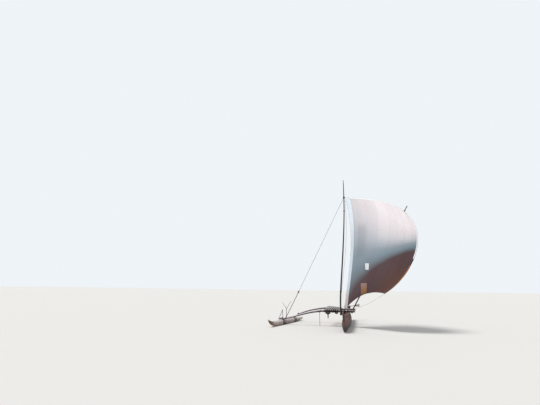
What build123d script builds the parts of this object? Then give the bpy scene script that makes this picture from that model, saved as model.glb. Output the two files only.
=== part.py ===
from build123d import *

import os
from math import cos, hypot, radians, sqrt, tan

# Beached outrigger sailing canoe with a dugout log base, sewn plank sides, two pole booms,
# a log float and a mast and sprit carrying one bellied sail.
# Millimetres. +Z is up, +Y runs along the hull, -X is the outrigger's side.
# The origin is on the ground under the middle of the hull.

# Hull, which is the same at both ends
END_Y = 4850.0                # half length at the planks' feet, where the end heights below are taken
HULL_HALF_WIDTH = 199.0       # outside of the planks amidships
END_HALF_WIDTH = 60.0         # outside of the planks at END_Y
PLANK = 28.0
SEAM_MID, SEAM_END = 600.0, 700.0            # top of the log
WALE_MID, WALE_END = 805.0, 925.0            # seam between lower and upper plank
GUNWALE_MID, GUNWALE_END = 1010.0, 1150.0    # top of the upper plank
STEM_RAKE = 0.32              # how far the ends lean out for each unit of height
STEM_INSET, STEM_PROUD = 110.0, 42.0         # stem post inside and outside of the planks' ends
STEM_HEAD = 135.0             # stem post above the gunwale
MOORING_R = 20.0
RAIL_WIDTH, RAIL_DEPTH, RAIL_INSET = 36.0, 46.0, 20.0

# Long arcs in height, each amidships and at END_Y
SEAM = (SEAM_MID, SEAM_END)
WALE = (WALE_MID, WALE_END)
GUNWALE = (GUNWALE_MID, GUNWALE_END)

# Battens over the sewn seams, and the rope stitches that hold them
BATTEN_WIDTH, BATTEN_HEIGHT, BATTEN_INSET = 14.0, 46.0, 6.0
STITCH_PITCH = 180.0
STITCH_END = 130.0            # from the last stitch to END_Y
STITCH_WIDTH, STITCH_LEAN = 15.0, 34.0
STITCH_PROUD = 5.0            # past the batten's outside
STITCH_REACH = 15.0           # past its edges
STITCH_LIFT = 3.0             # above the log

# Log sections: distance from amidships, keel height, half width of the keel, half beam, beam height
LOG_SECTIONS = [
    (0.0, -14.0, 115.0, 302.0, 285.0),
    (3000.0, -14.0, 92.0, 226.0, 295.0),
    (4350.0, 24.0, 46.0, 134.0, 360.0),
    (5100.0, 350.0, 16.0, 52.0, 530.0),
]
# Hollow sections, with the same columns
HOLLOW_SECTIONS = [
    (0.0, 72.0, 86.0, 254.0, 290.0),
    (3000.0, 80.0, 66.0, 180.0, 300.0),
    (4150.0, 165.0, 30.0, 104.0, 375.0),
]
LOG_LIP = 2.0                 # planks' outside stands this far out past the cut top of the log
HOLLOW_LIP = 30.0             # log's edge inside the planks' inner faces
LOG_STOCK, HOLLOW_STOCK = 40.0, 60.0         # tops of both above the seam, before they are cut

# Lengths that the log and the planks are made up of, by the joints' distances from amidships
LOG_LENGTHS = ("log_fore_end", "log_fore", "log_middle", "log_aft", "log_aft_end")
LOG_JOINTS = (1000.0, 3000.0)
LOWER_PLANK_JOINTS = (1650.0,)
UPPER_PLANK_JOINTS = (2250.0,)
BUTT_GAP = 1.0                # between planks that meet end to end

# Thwarts, round poles through the upper planks
THWART_R = 28.0
THWART_DROP = 132.0           # axis below the gunwale
THWART_Y = 3100.0             # the pair away from the booms
THWART_PROUD = 26.0           # past the rails

# Booms: distance out from amidships, share of the drop from gunwale to float, radius
BOOM_Y = 1200.0
BOOM_BED = 15.0               # let into the gunwale
FLOAT_BED = 12.0              # let into the float
BOOM_FORE = [
    (620.0, 0.0, 78.0),
    (-380.0, 0.0, 84.0),
    (-1500.0, 0.02, 80.0),
    (-2400.0, 0.17, 72.0),
    (-3200.0, 0.45, 64.0),
    (-4000.0, 0.79, 54.0),
    (-4731.0, 1.0, 45.0),
    (-4990.0, 1.0, 42.0),
]
BOOM_AFT = [
    (620.0, 0.02, 76.0),
    (-380.0, -0.02, 82.0),
    (-1400.0, -0.12, 78.0),
    (-2200.0, -0.02, 70.0),
    (-3000.0, 0.22, 61.0),
    (-3800.0, 0.62, 53.0),
    (-4319.0, 1.0, 46.0),
    (-4780.0, 1.04, 42.0),
]

# Float, a log toed in towards the hull at its far end
FLOAT_X = -4525.0             # axis where it passes amidships
FLOAT_TOE_IN = 9.74           # degrees
# Float sections: distance along it, centre height, radius; those under the booms carry them
FLOAT_ENDS = [(-3620.0, 480.0, 40.0), (-3380.0, 335.0, 95.0), (-2900.0, 215.0, 152.0)]
FLOAT_SEATS = [(190.0, 196.0), (178.0, 180.0)]
FLOAT_TAIL = [(2300.0, 168.0, 150.0), (2950.0, 172.0, 110.0), (3450.0, 215.0, 48.0)]

# Rope bands
ROPE = 13.0
FLOAT_LASH_GAP = 48.0         # from the boom's axis to the near edge of each band
FLOAT_LASH_WIDTH = 56.0
LASH_LIFT = 3.0               # bands stay this far off the ground
SADDLE_DROP = 80.0            # saddle below the boom
HULL_LASH_WIDTH = 48.0
HULL_LASH_GAP = 8.0           # inside the planks
LASH_BITE = 3.0               # stock into the poles, cut away where they pass

# Mast: height, lean across the boat from the heel, radius
MAST_HEEL = (-350.0, -1365.0, 962.0)
MAST_CURVE = [
    (0.0, 0.0, 60.0),
    (1320.0, 22.0, 58.0),
    (3030.0, 180.0, 53.0),
    (5320.0, 382.0, 47.0),
    (7090.0, 497.0, 41.0),
    (8560.0, 541.0, 36.0),
    (9760.0, 549.0, 27.0),
]
TRUCK_R, TRUCK_NECK_R, TRUCK_NECK_LENGTH, TRUCK_BED = 42.0, 14.0, 110.0, 8.0
COLLAR_AT, COLLAR_HEIGHT = 8560.0, 150.0     # throat lashing on the mast, above the heel
LOWER_COLLAR_AT, LOWER_COLLAR_HEIGHT = 7470.0, 90.0
COLLAR_THICK = 16.0
THROAT_GAP = 34.0             # from the throat lashing to the sail's corner

# Sprit, a straight pole from the aft boom to the sail's peak
SPRIT_HEEL = (350.0, 1035.0, 970.0)
SPRIT_TIP = (4429.0, -3500.0, 8129.0)
SPRIT_HEEL_R, SPRIT_TIP_R = 45.0, 26.0
PEAK_AT = 0.955               # share of the sprit's length at which the peak is lashed
PEAK_LASHING_LENGTH = 170.0
PEAK_SIDE = (-0.90, -0.31, 0.31)             # from the sprit towards the sail's corner
PEAK_GAP = 9.0

# Steps that carry the heels
STEP_CLEAR = 0.3
STEP_SIDE = 22.0              # beside the socket
STEP_DEPTH = 150.0            # below the heel's centre
STEP_RIM = 4.0                # rim below the heel's centre
STEP_WALL = 24.0              # outside the socket
STEP_FLARE = 0.2              # how much the mouth opens for each unit of height
STEP_REAR = 90.0              # past the boom's axis
STEP_FORE_GAP = 22.0          # from the spar to the part that clasps the boom

# Sail: control net, one row from foot to head for each of four lines from luff to leech
# The throat and the peak, which the spars hold, are worked out from them
SAIL_NET = [
    [(-110, -1360, 1210), (310, -1650, 3810), (1010, -1850, 6380), None],
    [(820, -2500, 2180), (1250, -4260, 4080), (2440, -4060, 6550), (1910, -2000, 9230)],
    [(1540, -3300, 2610), (2430, -5360, 3920), (4160, -5000, 6480), (3340, -2700, 8830)],
    [(2580, -3900, 2380), (4070, -4700, 3270), (5710, -4600, 5960), None],
]
SAIL_CELLS_ACROSS, SAIL_CELLS_UP = 10, 12
SAIL_THICK = 5.0

# Windward stay
STAY_R = 10.0
STAY_BLOCK = (-3459.0, -1178.0, 2372.0)
STAY_FOOT_X = -4453.0
STAY_GAP = 0.5                # from the stay's end to the deadeye
BLOCK_R, BLOCK_HALF, BLOCK_EDGE = 46.0, 26.0, 8.0
LANYARD_R, LANYARD_INSET = 8.0, 2.0
STAY_COLLAR_LENGTH = 70.0

# Rack of poles across the booms
RACK_FIRST_X, RACK_PITCH, RACK_COUNT = -1500.0, 136.0, 8
RACK_R = 27.0
RACK_FORE_Y, RACK_AFT_Y = -1520.0, 1640.0
RACK_BED = 5.0
TAPER = 0.8                   # thin end of sticks, poles and the oar's loom, as a share of the thick end

# Sticks on the fore boom's outer end: foot x, y, top x, top z, radius
CRUTCH_STICKS = [
    (-4650.0, -1230.0, -4690.0, 1080.0, 21.0),
    (-4390.0, -1230.0, -4378.0, 1165.0, 19.0),
]
CRUTCH_SINK = 46.0
FORK_TOPS = [(-4018.0, 1710.0), (-4700.0, 1600.0)]
FORK_R, FORK_TAPER, FORK_LAP = 15.0, 0.6, 20.0
BRACE_R, BRACE_LAP = 19.0, 30.0
BRACE_INBOARD, BRACE_SINK = 40.0, 20.0       # its foot from the boom's end, and into the boom

# Prop stick under the fore boom
PROP_X = -1906.0
PROP_R = 15.0
PROP_BED = 14.0

# Steering oar on a thole pin, and the spare thole at the other end
THOLE_Y = 3600.0
THOLE_BLOCK = (84.0, 150.0, 62.0)
PIN_R, PIN_STAND = 14.0, 56.0
SHANK_R, SHANK_LENGTH = 11.0, 44.0           # the pin's thinner foot in the block
PIN_CLEAR = 0.08
OAR_YAW = 20.0                # degrees out from the hull's line at rest
CHEEK = (84.0, 150.0, 66.0)
CHEEK_LIFT = 0.4
OAR_R, OAR_BED = 25.0, 9.0
OAR_INBOARD, OAR_OUTBOARD = 1300.0, 1500.0
BLADE_LENGTH, BLADE_HALF_DEPTH, BLADE_HALF_THICK = 1050.0, 132.0, 13.0
BLADE_NECK, BLADE_ROUND = 45.0, 60.0         # half depth at the loom, and the rise of its round end
BLADE_LAP = 260.0

# Shapes that only trim others
WIDE = 900.0                  # half width of trimming blocks
TALL = 1600.0                 # top of those blocks
SPARE = 500.0                 # their length past END_Y
ROUNDS = 8                    # steps that settle where an arc meets the raked end


def arc_radius(half_chord, sagitta):
    """Radius of an arc from its half chord and its rise."""
    return (half_chord ** 2 + sagitta ** 2) / (2 * sagitta)


def sweep_height(y, middle, end):
    """Height at y of the arc that rises from middle amidships to end at END_Y."""
    radius = arc_radius(END_Y, end - middle)
    return middle + radius - sqrt(radius ** 2 - y ** 2)


def plank_half(y, offset=0.0):
    """Half width at y of the planks' outside, or of a line parallel to it."""
    radius = arc_radius(END_Y, HULL_HALF_WIDTH - END_HALF_WIDTH)
    return HULL_HALF_WIDTH - radius + sqrt((radius + offset) ** 2 - y ** 2)


def gunwale(y):
    return sweep_height(y, *GUNWALE)


def stem_line(z):
    """Distance from amidships of the planks' raked ends at height z."""
    return END_Y + STEM_RAKE * (z - SEAM_END)


def across(y_z_face):
    """Block made by carrying a face of the YZ plane to both sides."""
    return extrude(y_z_face, amount=WIDE, dir=(1, 0, 0), both=True)


def below_ground():
    """Block under the ground, which flattens what rests on it."""
    return Pos(0, 0, -WIDE / 2) * Box(2 * WIDE, 2 * (END_Y + SPARE), WIDE)


def above(middle, end):
    """Everything of the hull above one of its long arcs."""
    far = END_Y + SPARE
    points = [(0, s * far, sweep_height(far, middle, end)) for s in (-1, 1)]
    arc = ThreePointArc(points[0], (0, 0, middle), points[1])
    frame = Polyline(points[1], (0, far, TALL), (0, -far, TALL), points[0])
    return across(make_face([*arc.edges(), *frame.edges()]))


def plan_band(side, inner, outer):
    """Upright wall that follows the planks' plan between two offsets, on one side."""
    far = END_Y + SPARE
    low = ThreePointArc(*[(side * plank_half(y, inner), y) for y in (-far, 0, far)])
    high = ThreePointArc(*[(side * plank_half(y, outer), y) for y in (far, 0, -far)])
    ends = [Line(low @ 1, high @ 0), Line(high @ 1, low @ 0)]
    face = make_face([*low.edges(), *high.edges(), *ends[0].edges(), *ends[1].edges()])
    return extrude(face, amount=TALL)


def end_point(curve, end, inset):
    """Where a long arc meets the planks' raked end line, drawn in by an inset."""
    y = END_Y
    for _ in range(ROUNDS):
        y = stem_line(sweep_height(y, *curve)) - inset
    return (0, end * y, sweep_height(y, *curve))


def hull_wall(side, inner, outer, low, high, inset=0.0):
    """Part of the hull's side between two offsets in plan and two long arcs in height."""
    bottom = ThreePointArc(end_point(low, -1, inset), (0, 0, low[0]), end_point(low, 1, inset))
    top = ThreePointArc(end_point(high, 1, inset), (0, 0, high[0]), end_point(high, -1, inset))
    rakes = [Line(bottom @ 1, top @ 0), Line(top @ 1, bottom @ 0)]
    profile = make_face([*bottom.edges(), *top.edges(), *rakes[0].edges(), *rakes[1].edges()])
    return plan_band(side, inner, outer) & across(profile)


def in_lengths(shape, joints, gap=0.0):
    """A long piece of the hull parted at its joints, from fore to aft."""
    far = END_Y + SPARE
    marks = [-far, *[-y for y in reversed(joints)], *joints, far]
    pieces = []
    for low, high in zip(marks, marks[1:]):
        block = Pos(0, (low + high) / 2, 0) * Box(2 * WIDE, high - low - gap, 2 * TALL)
        pieces.append(shape & block)
    return pieces


def raised(curve, lift):
    return (curve[0] + lift, curve[1] + lift)


def section_face(y, keel, half_flat, half_beam, beam_z, top_half, top_z):
    """Cross section of the log or of its hollow: flat keel, an arc up each side, flat top."""
    right = ThreePointArc((half_flat, y, keel), (half_beam, y, beam_z), (top_half, y, top_z))
    left = ThreePointArc((-top_half, y, top_z), (-half_beam, y, beam_z), (-half_flat, y, keel))
    keel_line = Line(left @ 1, right @ 0)
    top_line = Line(right @ 1, left @ 0)
    return make_face([*keel_line.edges(), *right.edges(), *top_line.edges(), *left.edges()])


def log_loft(table, half_offset, lip, lift):
    """Loft through a table of sections, mirrored about amidships."""
    rows = [(-row[0], *row[1:]) for row in reversed(table[1:])] + table
    faces = []
    for y, keel, half_flat, half_beam, beam_z in rows:
        top_half = plank_half(y, half_offset) - lip
        top_z = sweep_height(y, *SEAM) + lift
        faces.append(section_face(y, keel, half_flat, half_beam, beam_z, top_half, top_z))
    return loft(faces)


def log_hull():
    log = log_loft(LOG_SECTIONS, 0.0, LOG_LIP, LOG_STOCK)
    hollow = log_loft(HOLLOW_SECTIONS, -PLANK, HOLLOW_LIP, HOLLOW_STOCK)
    return log - hollow - above(*SEAM) - below_ground()


def thwart_z(y):
    return gunwale(y) - THWART_DROP


def thwarts():
    poles = []
    for y in (-THWART_Y, -BOOM_Y, BOOM_Y, THWART_Y):
        length = 2 * (plank_half(y, RAIL_WIDTH) + THWART_PROUD)
        poles.append(Pos(0, y, thwart_z(y)) * Rot(0, 90, 0) * Cylinder(THWART_R, length))
    return poles


def stem_post(end):
    """Post between the planks' ends, with a mooring hole through its head."""
    foot, head = SEAM_MID, GUNWALE_END + STEM_HEAD
    corners = [
        (0, end * (stem_line(foot) - STEM_INSET), foot),
        (0, end * (stem_line(foot) + STEM_PROUD), foot),
        (0, end * (stem_line(head) + STEM_PROUD), head),
        (0, end * (stem_line(head) - STEM_INSET), head),
    ]
    post = across(make_face(Polyline(*corners, close=True))) & above(*SEAM)
    deep = -PLANK - 2 * HULL_HALF_WIDTH
    inside = plan_band(1, deep, -PLANK) & plan_band(-1, deep, -PLANK)
    hole = Pos(0, end * mooring_y(), mooring_z()) * Rot(0, 90, 0) * Cylinder(MOORING_R, 2 * WIDE)
    return (post & inside) - hole


def mooring_z():
    return GUNWALE_END + STEM_HEAD / 2


def mooring_y():
    return stem_line(mooring_z()) + (STEM_PROUD - STEM_INSET) / 2


def float_rows():
    """All float sections in order: distance along it, centre height, radius."""
    reach = BOOM_Y / cos(radians(FLOAT_TOE_IN))
    seats = [(-reach, *FLOAT_SEATS[0]), (reach, *FLOAT_SEATS[1])]
    return FLOAT_ENDS + seats + FLOAT_TAIL


def float_place():
    return Pos(FLOAT_X, 0, 0) * Rot(0, 0, -FLOAT_TOE_IN)


def float_loft(grow=0.0):
    discs = []
    for along, z, radius in float_rows():
        discs.append(Plane((0, along, z), x_dir=(1, 0, 0), z_dir=(0, 1, 0)) * Circle(radius + grow))
    return float_place() * (loft(discs) - below_ground())


def boom_rows(table, y, seat):
    """Boom sections as x, centre height and radius, from its seats on gunwale and float."""
    hull_z = gunwale(y) - BOOM_BED + table[1][2]
    float_z = seat[0] + seat[1] - FLOAT_BED + table[-2][2]
    return [(x, hull_z + share * (float_z - hull_z), radius) for x, share, radius in table]


def boom_height(rows, x):
    """Centre height and radius of a boom at x, on straight lines between its sections."""
    for (x1, z1, r1), (x2, z2, r2) in zip(rows, rows[1:]):
        if x2 <= x <= x1:
            t = (x - x1) / (x2 - x1)
            return z1 + t * (z2 - z1), r1 + t * (r2 - r1)
    raise ValueError("x is past the boom's end")


def spar(points, radii):
    """Round pole lofted through circles set square to its run in a plane y = constant."""
    discs = []
    for i, (point, radius) in enumerate(zip(points, radii)):
        before, after = points[max(i - 1, 0)], points[min(i + 1, len(points) - 1)]
        run = Vector(*after) - Vector(*before)
        discs.append(Plane(point, x_dir=(0, 1, 0), z_dir=run) * Circle(radius))
    return loft(discs)


def boom_spar(rows, y, grow=0.0):
    return spar([(x, y, z) for x, z, radius in rows], [radius + grow for x, z, radius in rows])


def pole(start, end, start_r, end_r):
    """Straight tapered pole between two points."""
    run = Vector(*end) - Vector(*start)
    plane = Plane(start, z_dir=run)
    return loft([plane * Circle(start_r), plane.offset(run.length) * Circle(end_r)])


def hull_lashings(rows, y):
    """A rope band inside each side of the hull, over the boom and under the thwart."""
    bands = []
    for side in (-1, 1):
        outer = side * (plank_half(y, -PLANK) - HULL_LASH_GAP)
        inner = outer - side * HULL_LASH_WIDTH
        boom_z, boom_r = boom_height(rows, (inner + outer) / 2)
        low_z = thwart_z(y)
        faces = []
        for grow in (ROPE, -LASH_BITE):
            discs = [Circle(boom_r + grow).edge().moved(Location((0, boom_z, 0)))]
            discs.append(Circle(THWART_R + grow).edge().moved(Location((0, low_z, 0))))
            faces.append(make_hull(discs))
        plane = Plane((min(inner, outer), y, 0), x_dir=(0, 1, 0), z_dir=(1, 0, 0))
        bands.append(extrude(plane * (faces[0] - faces[1]), amount=HULL_LASH_WIDTH))
    return bands


def float_lashing(rows, y):
    """Two bands round the float, one each side of the boom, and a saddle over the boom."""
    reach = y / cos(radians(FLOAT_TOE_IN))
    grown = float_loft(ROPE)
    bands = []
    for side in (-1, 1):
        middle = reach + side * (FLOAT_LASH_GAP + FLOAT_LASH_WIDTH / 2)
        slab = Box(2 * WIDE, FLOAT_LASH_WIDTH, WIDE)
        bands.append(grown & float_place() * Pos(0, middle, WIDE / 2 + LASH_LIFT) * slab)
    x = FLOAT_X + y * tan(radians(FLOAT_TOE_IN))
    boom_z, boom_r = boom_height(rows, x)
    half = FLOAT_LASH_GAP + FLOAT_LASH_WIDTH
    low, high = boom_z - boom_r - SADDLE_DROP, boom_z + boom_r + 2 * ROPE
    block = Pos(x, y, (low + high) / 2) * Box(FLOAT_LASH_WIDTH, 2 * half, high - low)
    saddle = block & (boom_spar(rows, y, ROPE) + bands[0] + bands[1])
    return bands[0] + bands[1] + saddle


def heel_step(heel, radius, boom_rows_here, boom_y, lean):
    """Block under a boom with a round socket for a spar's heel, on the boom's fore side."""
    x, y, z = heel
    boom_z, boom_r = boom_height(boom_rows_here, x)
    fore = y - radius - STEP_WALL
    clasp = y + radius + STEP_FORE_GAP
    low, rim = z - STEP_DEPTH, z - STEP_RIM
    corners = [
        (0, fore, low),
        (0, boom_y + STEP_REAR, low),
        (0, boom_y + STEP_REAR, boom_z - boom_r / 2),
        (0, clasp, boom_z - boom_r / 2),
        (0, clasp, rim),
        (0, fore, rim),
    ]
    socket_r = radius + STEP_CLEAR
    side = make_face(Polyline(*corners, close=True))
    block = Pos(x, 0, 0) * extrude(side, amount=socket_r + STEP_SIDE, dir=(1, 0, 0), both=True)
    height = 2 * radius
    end = Vector(*heel) + Vector(*lean).normalized() * height
    mouth = pole(heel, tuple(end), socket_r, socket_r + STEP_FLARE * height)
    return block - Pos(*heel) * Sphere(socket_r) - mouth


def mast_points():
    x, y, z = MAST_HEEL
    return [(x + lean, y, z + up) for up, lean, radius in MAST_CURVE]


def mast_at(up):
    """Centre and radius of the mast at a height above its heel."""
    for (u1, l1, r1), (u2, l2, r2) in zip(MAST_CURVE, MAST_CURVE[1:]):
        if u1 <= up <= u2:
            t = (up - u1) / (u2 - u1)
            x, y, z = MAST_HEEL
            return (x + l1 + t * (l2 - l1), y, z + up), r1 + t * (r2 - r1)
    raise ValueError("height is past the mast's end")


def heel(point, run, radius):
    """Half ball that ends a spar in its socket."""
    return Plane(point, z_dir=run) * Sphere(radius, arc_size1=-90, arc_size2=0)


def mast():
    points = mast_points()
    run = Vector(*points[1]) - Vector(*points[0])
    radii = [radius for up, lean, radius in MAST_CURVE]
    return spar(points, radii) + heel(MAST_HEEL, run, radii[0])


def mast_truck():
    """Turned knob on a short neck at the masthead."""
    top, top_r = mast_at(MAST_CURVE[-1][0])
    neck = Pos(0, 0, TRUCK_NECK_LENGTH / 2) * Cylinder(TRUCK_NECK_R, TRUCK_NECK_LENGTH)
    knob = Pos(0, 0, TRUCK_NECK_LENGTH + TRUCK_R - TRUCK_BED) * Sphere(TRUCK_R)
    return Pos(*top) * (neck + knob)


def mast_collar(up, height):
    """Rope whipping round the mast."""
    (x1, y, z1), r1 = mast_at(up - height / 2)
    (x2, y, z2), r2 = mast_at(up + height / 2)
    sleeve = pole((x1, y, z1), (x2, y, z2), r1 + COLLAR_THICK, r2 + COLLAR_THICK)
    return sleeve - mast()


def sprit_point(share):
    heel, tip = Vector(*SPRIT_HEEL), Vector(*SPRIT_TIP)
    return tuple(heel + (tip - heel) * share)


def sprit():
    run = Vector(*SPRIT_TIP) - Vector(*SPRIT_HEEL)
    return pole(SPRIT_HEEL, SPRIT_TIP, SPRIT_HEEL_R, SPRIT_TIP_R) + heel(SPRIT_HEEL, run, SPRIT_HEEL_R)


def sprit_radius(share):
    return SPRIT_HEEL_R + share * (SPRIT_TIP_R - SPRIT_HEEL_R)


def peak_lashing():
    length = hypot(*[a - b for a, b in zip(SPRIT_TIP, SPRIT_HEEL)])
    half = PEAK_LASHING_LENGTH / 2 / length
    radius = sprit_radius(PEAK_AT)
    sleeve = pole(sprit_point(PEAK_AT - half), sprit_point(PEAK_AT + half), radius + ROPE, radius + ROPE)
    return sleeve - sprit()


def bezier_weights(t):
    return [(1 - t) ** 3, 3 * t * (1 - t) ** 2, 3 * t ** 2 * (1 - t), t ** 3]


def sail_net():
    """Control net with the throat beside the mast's lashing and the peak beside the sprit's."""
    net = [list(row) for row in SAIL_NET]
    (x, y, z), radius = mast_at(COLLAR_AT)
    net[0][3] = (x + radius + COLLAR_THICK + THROAT_GAP, y, z)
    off = sprit_radius(PEAK_AT) + ROPE + PEAK_GAP
    net[3][3] = tuple(a + off * b for a, b in zip(sprit_point(PEAK_AT), PEAK_SIDE))
    return net


NET = sail_net()


def sail_point(u, v):
    """Point of the sail's middle surface: u from luff to leech, v from foot to head."""
    total = Vector(0, 0, 0)
    for row, row_weight in zip(NET, bezier_weights(u)):
        for point, weight in zip(row, bezier_weights(v)):
            total += Vector(*point) * (row_weight * weight)
    return total


def sail_normal(u, v):
    step = 0.001
    along = sail_point(min(u + step, 1), v) - sail_point(max(u - step, 0), v)
    up = sail_point(u, min(v + step, 1)) - sail_point(u, max(v - step, 0))
    return along.cross(up).normalized()


def sail():
    """Bellied cloth as one thin closed solid of flat facets."""
    layers = []
    for side in (-0.5, 0.5):
        rows = []
        for i in range(SAIL_CELLS_ACROSS + 1):
            u = i / SAIL_CELLS_ACROSS
            line = [(u, j / SAIL_CELLS_UP) for j in range(SAIL_CELLS_UP + 1)]
            rows.append([sail_point(a, b) + sail_normal(a, b) * (side * SAIL_THICK) for a, b in line])
        layers.append(rows)
    faces = []
    for rows in layers:
        for i in range(SAIL_CELLS_ACROSS):
            for j in range(SAIL_CELLS_UP):
                a, b, c, d = rows[i][j], rows[i + 1][j], rows[i + 1][j + 1], rows[i][j + 1]
                faces += [Face(Wire.make_polygon(corners)) for corners in ([a, b, c], [a, c, d])]
    rim = [(i, 0) for i in range(SAIL_CELLS_ACROSS)]
    rim += [(SAIL_CELLS_ACROSS, j) for j in range(SAIL_CELLS_UP)]
    rim += [(i, SAIL_CELLS_UP) for i in range(SAIL_CELLS_ACROSS, 0, -1)]
    rim += [(0, j) for j in range(SAIL_CELLS_UP, 0, -1)]
    for (i, j), (k, m) in zip(rim, rim[1:] + rim[:1]):
        a, b, c, d = layers[0][i][j], layers[0][k][m], layers[1][k][m], layers[1][i][j]
        faces += [Face(Wire.make_polygon(corners)) for corners in ([a, b, c], [a, c, d])]
    return Solid(Shell(faces))


def stay_foot(rows):
    z, radius = boom_height(rows, STAY_FOOT_X)
    return (STAY_FOOT_X, -BOOM_Y, z), radius


def stay_block():
    """Wooden deadeye in the stay: a thick disc standing in the stay's plane."""
    disc = Rot(90, 0, 0) * Cylinder(BLOCK_R, 2 * BLOCK_HALF)
    return Pos(*STAY_BLOCK) * fillet(disc.edges(), BLOCK_EDGE)


def windward_stay():
    """Stay from the throat collar down to the deadeye."""
    (x, y, z), radius = mast_at(COLLAR_AT)
    top = Vector(x, y, z)
    foot = Vector(*STAY_BLOCK)
    end = foot - (foot - top).normalized() * (BLOCK_R + STAY_GAP)
    return pole(tuple(top), tuple(end), STAY_R, STAY_R) - pole_around_collar()


def pole_around_collar():
    (x1, y, z1), r1 = mast_at(COLLAR_AT - COLLAR_HEIGHT)
    (x2, y, z2), r2 = mast_at(COLLAR_AT + COLLAR_HEIGHT)
    return pole((x1, y, z1), (x2, y, z2), r1 + COLLAR_THICK, r2 + COLLAR_THICK)


def stay_lanyard(rows):
    """Doubled lanyard from the deadeye to a rope collar round the boom."""
    (x, y, z), radius = stay_foot(rows)
    sleeve = Pos(x, y, z) * Rot(0, 90, 0) * Cylinder(radius + 2 * ROPE, STAY_COLLAR_LENGTH)
    parts = sleeve - boom_spar(rows, y)
    for side in (-1, 1):
        strand_y = STAY_BLOCK[1] + side * (BLOCK_HALF - LANYARD_R - LANYARD_INSET)
        end = (STAY_BLOCK[0], strand_y, STAY_BLOCK[2])
        parts += pole((x, strand_y, z + radius), end, LANYARD_R, LANYARD_R)
    return parts - stay_block()


def rack_poles(fore_rows, aft_rows):
    """Pale poles laid fore and aft across both booms."""
    poles = []
    for i in range(RACK_COUNT):
        x = RACK_FIRST_X + i * RACK_PITCH
        ends = []
        for rows, boom_y in ((fore_rows, -BOOM_Y), (aft_rows, BOOM_Y)):
            z, radius = boom_height(rows, x)
            ends.append((boom_y, z + radius + RACK_R - RACK_BED))
        slope = (ends[1][1] - ends[0][1]) / (ends[1][0] - ends[0][0])
        start = (x, RACK_FORE_Y, ends[0][1] + slope * (RACK_FORE_Y - ends[0][0]))
        end = (x, RACK_AFT_Y, ends[0][1] + slope * (RACK_AFT_Y - ends[0][0]))
        poles.append(pole(start, end, RACK_R, RACK_R * TAPER))
    return poles


def crutches(rows):
    """Two sticks let into the boom, a brace from the boom's end and a fork on the taller."""
    sticks = []
    for foot_x, y, top_x, top_z, radius in CRUTCH_STICKS:
        z, boom_r = boom_height(rows, foot_x)
        foot = (foot_x, y, z + boom_r - CRUTCH_SINK)
        sticks.append(pole(foot, (top_x, y, top_z), radius, radius * TAPER))
    fork = sticks[1]
    top_x, top_z = CRUTCH_STICKS[1][2:4]
    for arm_x, arm_z in FORK_TOPS:
        fork += pole((top_x, y, top_z - FORK_LAP), (arm_x, y, arm_z), FORK_R, FORK_R * FORK_TAPER)
    end_x, z, boom_r = rows[-1]
    top_x, top_z = CRUTCH_STICKS[0][2:4]
    foot = (end_x + BRACE_INBOARD, y, z + boom_r - BRACE_SINK)
    brace = pole(foot, (top_x, y, top_z - BRACE_LAP), BRACE_R, BRACE_R * TAPER)
    return [sticks[0] + brace, fork]


def prop_stick(rows):
    z, radius = boom_height(rows, PROP_X)
    return pole((PROP_X, -BOOM_Y, 0), (PROP_X, -BOOM_Y, z - radius + PROP_BED), PROP_R, PROP_R)


def thole_x(y):
    return plank_half(y, RAIL_WIDTH) - THOLE_BLOCK[0] / 2


def thole_top(y):
    return gunwale(y) + THOLE_BLOCK[2]


def thole_block(y):
    """Block on the lee rail that carries a thole pin."""
    width, length, height = THOLE_BLOCK
    block = Pos(thole_x(y), y, thole_top(y) - height) * Box(width, length, 2 * height)
    return (block & above(*GUNWALE)) - thole_pin(y)


def thole_pin(y):
    """Upright pin that stands on the block, with a thinner foot in it."""
    stand = Pos(0, 0, PIN_STAND / 2) * Cylinder(PIN_R, PIN_STAND)
    shank = Pos(0, 0, -SHANK_LENGTH / 2) * Cylinder(SHANK_R, SHANK_LENGTH)
    return Pos(thole_x(y), y, thole_top(y)) * (stand + shank)


def oar_place():
    """Place of the oar: at the aft thole, turned out from the hull's line."""
    return Pos(thole_x(THOLE_Y), THOLE_Y, thole_top(THOLE_Y) + CHEEK_LIFT) * Rot(0, 0, -OAR_YAW)


def oar_axis_z():
    return CHEEK[2] + OAR_R - OAR_BED


def oar_loom_shape():
    start, end = (0, -OAR_INBOARD, oar_axis_z()), (0, OAR_OUTBOARD, oar_axis_z())
    return pole(start, end, OAR_R * TAPER, OAR_R)


def oar_cheek():
    width, length, height = CHEEK
    block = Pos(0, 0, height / 2) * Box(width, length, height)
    bore = Cylinder(PIN_R + PIN_CLEAR, 4 * height)
    return oar_place() * (block - bore - oar_loom_shape())


def oar_blade_shape():
    """Upright blade, narrow at the loom and full at its end."""
    z, start = oar_axis_z(), OAR_OUTBOARD - BLADE_LAP
    end = start + BLADE_LENGTH
    round_y = end - BLADE_ROUND
    low, high = (0, round_y, z - BLADE_HALF_DEPTH), (0, round_y, z + BLADE_HALF_DEPTH)
    tip = ThreePointArc(high, (0, end, z), low)
    outline = Polyline(low, (0, start, z - BLADE_NECK), (0, start, z + BLADE_NECK), high)
    face = make_face([*tip.edges(), *outline.edges()])
    return extrude(face, amount=BLADE_HALF_THICK, dir=(1, 0, 0), both=True)


def oar_blade():
    return oar_place() * (oar_blade_shape() - oar_loom_shape())


def oar_loom():
    return oar_place() * oar_loom_shape()


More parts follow.
